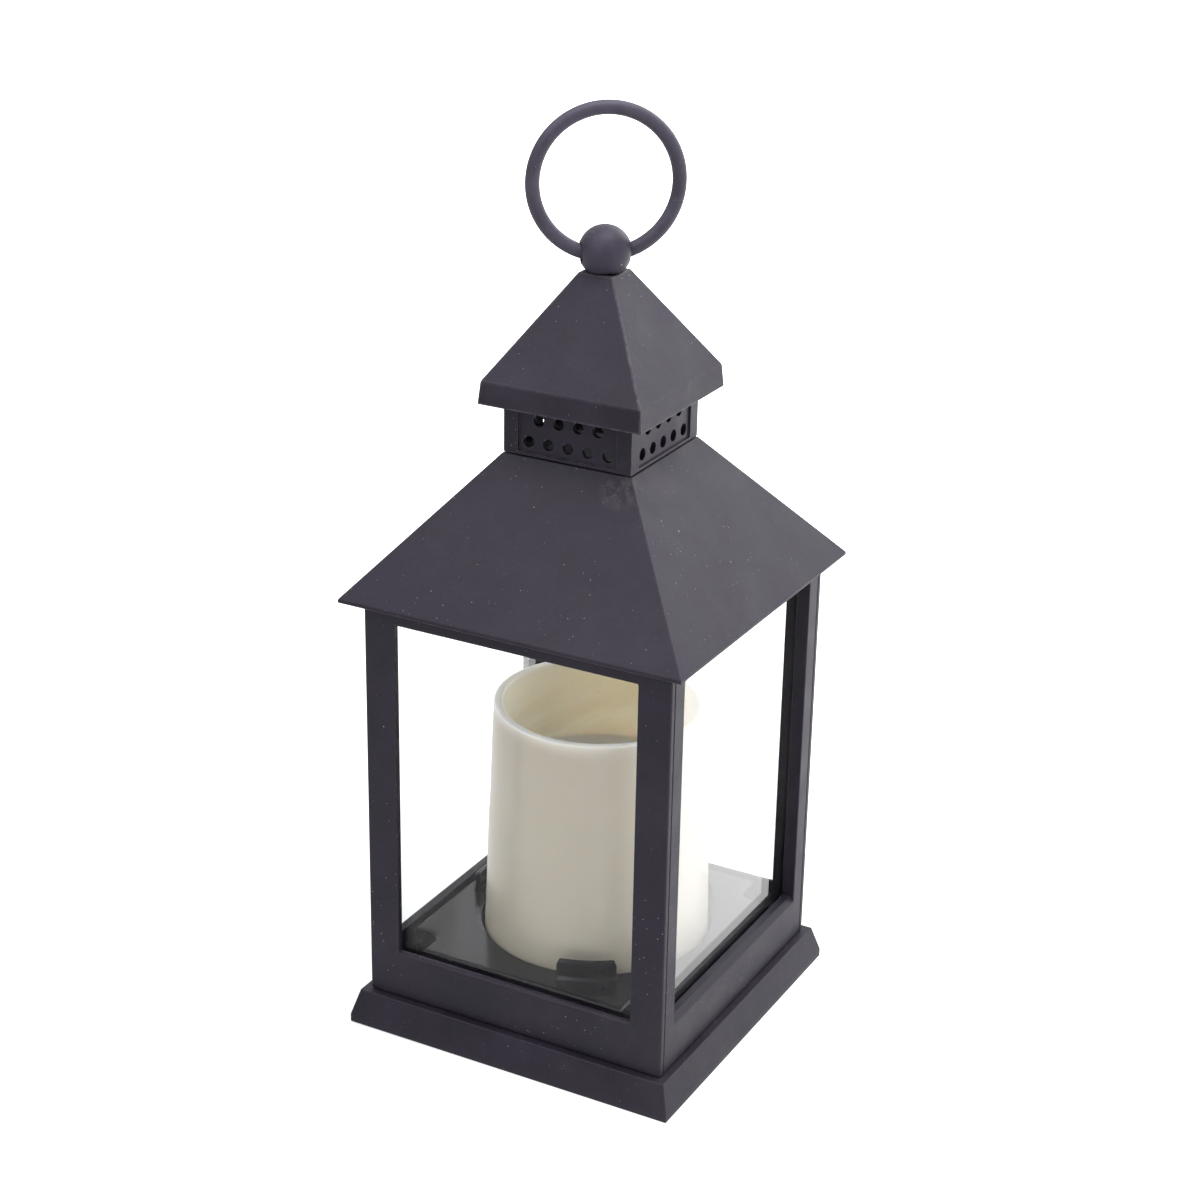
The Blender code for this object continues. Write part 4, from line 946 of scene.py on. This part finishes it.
def make_switch_marks(mat):
    """Raised symbols beside the slider: a bar for on, a ring for off, a dial for timed."""
    z = HOUSING_Z + 0.05 * MM
    low = HOUSING_Z - 0.15 * MM

    def ring(bm, x, y, r):
        inner, outer = (r - 0.2) * MM, (r + 0.2) * MM
        turned(bm, [(inner, low), (outer, low), (outer, z), (inner, z)], FINE,
               unit_at(x, y), True)

    marks = {
        "mark_on": lambda bm: unit_box(bm, (8.6, SWITCH_Y - 1.1, low / MM),
                                       (9.0, SWITCH_Y + 1.1, z / MM)),
        "mark_off": lambda bm: ring(bm, 0.0, SWITCH_Y - 6.6, 1.0),
        "mark_timed": lambda bm: ring(bm, -8.8, SWITCH_Y, 1.1),
        "mark_timed_hand": lambda bm: unit_box(bm, (-8.95, SWITCH_Y - 0.75, low / MM),
                                               (-8.65, SWITCH_Y + 0.1, z / MM))}
    for name, build in marks.items():
        mark = built(name, build, mat)
        soften(mark)
        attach(mark, BODY_OF["battery_housing"])


def make_door(mat, steel, label_mat):
    """Battery door with ribbed finger grips, its screw and a blank sticker."""
    low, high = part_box("battery_door")
    z0, top = low.z / MM, high.z / MM
    door = built("door_fine",
                 lambda bm: unit_box(bm, (-26.7, -17.0, z0), (26.7, 17.0, top)), mat)
    join(door, lambda bm: unit_box(bm, (25.7, -4.4, z0), (28.6, 4.4, top)))
    join(door, lambda bm: cylinder(bm, unit_at(*DOOR_LOBE), 2.7 * MM, low.z, high.z))
    cut(door, lambda bm: turned(bm, [(2.0 * MM, low.z - MM), (2.0 * MM, low.z + 0.7 * MM),
                                     (1.1 * MM, low.z + 0.7 * MM), (1.1 * MM, high.z + MM)],
                                FINE, unit_at(*DOOR_LOBE)))
    for side in (-1, 1):
        cut(door, lambda bm: unit_box(bm, (-3.4, side * 13 - 1.8, z0 - 1),
                                      (8.0, side * 13 + 1.8, z0 + 0.5)))
        for i in range(5):
            x = -2.4 + 2.3 * i
            join(door, lambda bm: unit_box(bm, (x, side * 13 - 1.9, z0 + 0.15),
                                           (x + 0.8, side * 13 + 1.9, z0 + 0.6)))
    tidy_faces(door)
    soften(door, 0.12 * MM, 2, 45.0)
    place(door, "battery_door")
    make_screw("door_screw", 1.7 * MM, 0.9 * MM, 0.7 * MM, (1.0 * MM, 0.5 * MM), steel)

    outline = rounded([(-20.5, -10.3), (20.5, -10.3), (20.5, 10.3), (-20.5, 10.3)], 1.2, 6)
    turn = Matrix.Rotation(radians(6.4), 2)
    spot = [unit_at(*(turn @ Vector(point) + Vector((3.0, 0.0)))) for point in outline]
    label_z = (low.z - 0.12 * MM, low.z - 0.02 * MM)
    label = built("door_label", lambda bm: prism(bm, spot, *label_z), label_mat)
    soften(label)
    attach(label, BODY_OF["battery_door"])


def make_cells():
    """AAA cells with crimped ends and printed sleeves."""
    for index, side in ((1, 1), (2, -1), (3, 1)):
        node = "battery_cell_%d" % index
        low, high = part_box(node)
        middle = centre_of(node)
        radius = (high.z - low.z) / 2
        length = high.x - low.x
        profile = rounded([(3.6 * MM, 0.25 * MM), (radius - 0.5 * MM, 0.0), (radius, 0.4 * MM),
                           (radius, length - 1.4 * MM), (radius - 0.7 * MM, length - 1.0 * MM),
                           (1.9 * MM, length - 1.0 * MM), (1.9 * MM, length),
                           (0.3 * MM, length)], 0.25 * MM, 4, ends=False)
        bm = bmesh.new()
        turned(bm, profile, 64)
        turn = Matrix.Rotation(side * pi / 2, 4, "Y")
        start = low.x if side > 0 else high.x
        bm.transform(Matrix.Translation((start, middle.y, middle.z)) @ turn)
        cell = new_object(node + "_fine", bm, cell_sleeve(node + "_sleeve", side))
        soften(cell)
        place(cell, node)


def make_springs(mat):
    """Conical coil springs of round wire at the minus ends."""
    for index in (1, 2, 3):
        node = "contact_spring_%d" % index
        low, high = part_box(node)
        middle = centre_of(node)
        wide_at_high = low.x > 0
        wire, turns, steps, sides = 0.28 * MM, 3.5, 160, 12
        loops = []
        for i in range(steps + 1):
            t = i / steps
            a = 2 * pi * turns * t
            radius = (2.9 - 1.0 * t) * MM
            across = t if not wide_at_high else 1 - t
            out = Vector((0.0, cos(a), sin(a)))
            x = low.x + wire + (high.x - low.x - 2 * wire) * across
            mid = Vector((x, middle.y, middle.z)) + out * radius
            loops.append([mid + (out * cos(b) + Vector((sin(b), 0, 0))) * wire
                          for b in (2 * pi * j / sides for j in range(sides))])
        spring = built(node + "_fine", lambda bm: add_loops(bm, loops), mat)
        soften(spring)
        place(spring, node)


def make_led(mat, sleeves):
    """Flame LED with its flange and flame-shaped dome, and its two wires."""
    low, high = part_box("led")
    profile = [(2.2 * MM, low.z), (2.5 * MM, low.z + 0.15 * MM), (2.5 * MM, low.z + 1.0 * MM),
               (2.3 * MM, low.z + 1.2 * MM), (2.3 * MM, low.z + 5.0 * MM)]
    steps = 16
    shoulder = low.z + 5.0 * MM
    for i in range(1, steps + 1):
        t = i / steps
        profile.append((2.3 * MM * max(0.02, (1 - t ** 2.2)) ** 0.75,
                        shoulder + (high.z - shoulder) * t))
    led = built("led_fine", lambda bm: turned(bm, profile, 48, UNIT), mat)
    soften(led)
    place(led, "led")
    for node, sleeve in zip(("led_wire_1", "led_wire_2"), sleeves):
        low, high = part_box(node)
        radius = (high.x - low.x) / 2
        x = centre_of(node).x
        y0, y1 = low.y + radius, high.y - radius
        cross_z = DECK_Z + 2.5 * MM
        line = [(y0, low.z), (y0, cross_z), (y1, cross_z), (y1, high.z)]
        route = [Vector((x, y, z)) for y, z in rounded(line, 1.6 * MM, 8, ends=False)]
        wire = built(node + "_fine", lambda bm: tube(bm, route, radius), sleeve)
        soften(wire)
        place(wire, node)


def tube(bm, route, radius, sides=14):
    """A round wire along a route that lies in a plane of constant X."""
    loops = []
    side = Vector((1.0, 0.0, 0.0))
    for i, point in enumerate(route):
        ahead = route[min(i + 1, len(route) - 1)] - route[max(i - 1, 0)]
        across = ahead.normalized().cross(side)
        loops.append([point + radius * (side * cos(b) + across * sin(b))
                      for b in (2 * pi * j / sides for j in range(sides))])
    add_loops(bm, loops)


# ---- studio

BRIGHT_SIDE = (0.25, 0.92, 0.30)  # from the lantern towards the bright backdrop
FRONT_SKY, BACK_SKY = 0.32, 1.55  # the world's strength in front and behind
GLOW_WAY = (0.60, 0.80, 0.0)  # the table glows more this way,
GLOW_REACH = (-0.10, 0.26)  # from here to here, in metres,
GLOW = (0.55, 2.10)  # between these strengths


def add_area(name, size, power, location, target):
    light = bpy.data.lights.new(name, "AREA")
    light.shape = "RECTANGLE"
    light.size, light.size_y = size
    light.energy = power
    made = linked(name, light)
    made.location = location
    aim = Vector(target) - Vector(location)
    made.rotation_euler = aim.to_track_quat("-Z", "Y").to_euler()


def make_studio():
    """A pale floor, a world that is brighter behind the lantern, and four soft lights."""
    half = 6.0
    bm = bmesh.new()
    box(bm, (-half, -half, -0.02), (half, half, -0.0003))
    new_object("floor", bm, studio_white("studio_floor", 0.30))
    world = bpy.data.worlds.new("studio")
    bpy.context.scene.world = world
    world.use_nodes = True
    tree = world.node_tree
    back = tree.nodes["Background"]
    back.inputs["Color"].default_value = (1.0, 1.0, 1.0, 1.0)
    coords = tree.nodes.new("ShaderNodeTexCoord")
    toward = tree.nodes.new("ShaderNodeVectorMath")
    toward.operation = "DOT_PRODUCT"
    toward.inputs[1].default_value = BRIGHT_SIDE
    spread = tree.nodes.new("ShaderNodeMapRange")
    for socket, value in zip(("From Min", "From Max", "To Min", "To Max"),
                             (-0.8, 0.9, FRONT_SKY, BACK_SKY)):
        spread.inputs[socket].default_value = value
    tree.links.new(coords.outputs["Generated"], toward.inputs[0])
    tree.links.new(toward.outputs["Value"], spread.inputs["Value"])
    tree.links.new(spread.outputs["Result"], back.inputs["Strength"])
    add_area("key", (1.2, 0.9), 11.0, (0.35, 1.20, 0.86), (0.0, 0.0, 0.15))
    add_area("front_fill", (0.35, 0.45), 2.0, (-0.08, -0.78, 0.66), (0.0, 0.0, 0.11))
    add_area("top_left", (0.8, 0.8), 5.5, (-0.42, -0.46, 1.0), (0.0, 0.0, 0.18))
    add_area("overhead", (0.4, 0.4), 7.0, (0.13, 0.0, 0.95), (0.0, 0.0, 0.18))
    bpy.context.scene.view_settings.view_transform = "Standard"


def make_camera():
    """The photograph's view, as fitted to the lantern's straight edges."""
    azimuth, elevation, roll = (radians(d) for d in (28.20, 22.69, 1.09))
    distance, lens = 0.7175, 75.36
    shift = Vector((-0.57 * MM, -7.07 * MM))
    back = Vector((sin(azimuth) * cos(elevation),
                   -cos(azimuth) * cos(elevation), sin(elevation)))
    level = Vector((cos(azimuth), sin(azimuth), 0.0))
    rise = back.cross(level)
    right = cos(roll) * level + sin(roll) * rise
    up = cos(roll) * rise - sin(roll) * level
    data = bpy.data.cameras.new("camera")
    data.lens = lens
    data.sensor_width = 36.0
    data.clip_start = 0.01
    camera = linked("camera", data)
    target = Vector((0.0, 0.0, 0.120))
    at = target + distance * back - shift.x * right - shift.y * up
    turn = Matrix((right, up, back)).transposed().to_4x4()
    camera.matrix_world = Matrix.Translation(at) @ turn
    bpy.context.scene.camera = camera


def main():
    make_camera()
    make_studio()
    black = black_plastic("black_plastic")
    gloss = glossy_plastic("gloss_plastic")
    charcoal = charcoal_plastic("charcoal_plastic")
    clear = clear_plastic("clear_plastic")
    steel = plated_steel("zinc_steel")
    nickel = plated_steel("nickel_contact", (0.72, 0.70, 0.64), 0.22)

    make_base(black, gloss)
    for side in ("front", "back", "left", "right"):
        refined("wall_" + side, black, 0.30 * MM)
        refined("pane_" + side, clear, 0.15 * MM, 2)
    refined("roof", black, 0.25 * MM)
    make_vent_neck(black)
    # The cap's wider, paler edges paint a highlight along the top edge of its band.
    refined("cap", black_plastic("cap_plastic", reach=0.8 * MM, crisp=0.985, shine=0.7),
            0.35 * MM, 5, 24.0, 22.0)
    make_finial(black_plastic("ball_plastic", (0.0185, 0.0160, 0.0245)), steel)
    make_ring(black_plastic("ring_plastic", (0.0280, 0.0250, 0.0360)))
    for index in range(1, 5):
        make_screw("base_screw_%d" % index, 2.8 * MM, 2.0 * MM, 1.3 * MM, (1.6 * MM, 1.1 * MM),
                   steel)
    make_candle(wax("wax"))
    make_housing(charcoal)
    make_switch_marks(charcoal)
    make_door(charcoal, steel, paper_label("label_paper"))
    make_cells()
    for index in range(1, 5):
        refined("contact_plate_%d" % index, nickel, 0.10 * MM, 2)
    make_springs(nickel)
    refined("switch_can", nickel, 0.20 * MM, 2)
    refined("switch_slider", black_plastic("slider_plastic", (0.012, 0.012, 0.013)),
            0.15 * MM, 2)
    refined("circuit_board", circuit_green("circuit_green"), 0.05 * MM, 1)
    refined("led_post", charcoal, 0.12 * MM, 2)
    make_led(led_epoxy("led_epoxy"), (wire_sleeve("red_wire", (0.45, 0.02, 0.015)),
                                      wire_sleeve("black_wire", (0.02, 0.02, 0.02))))


main()
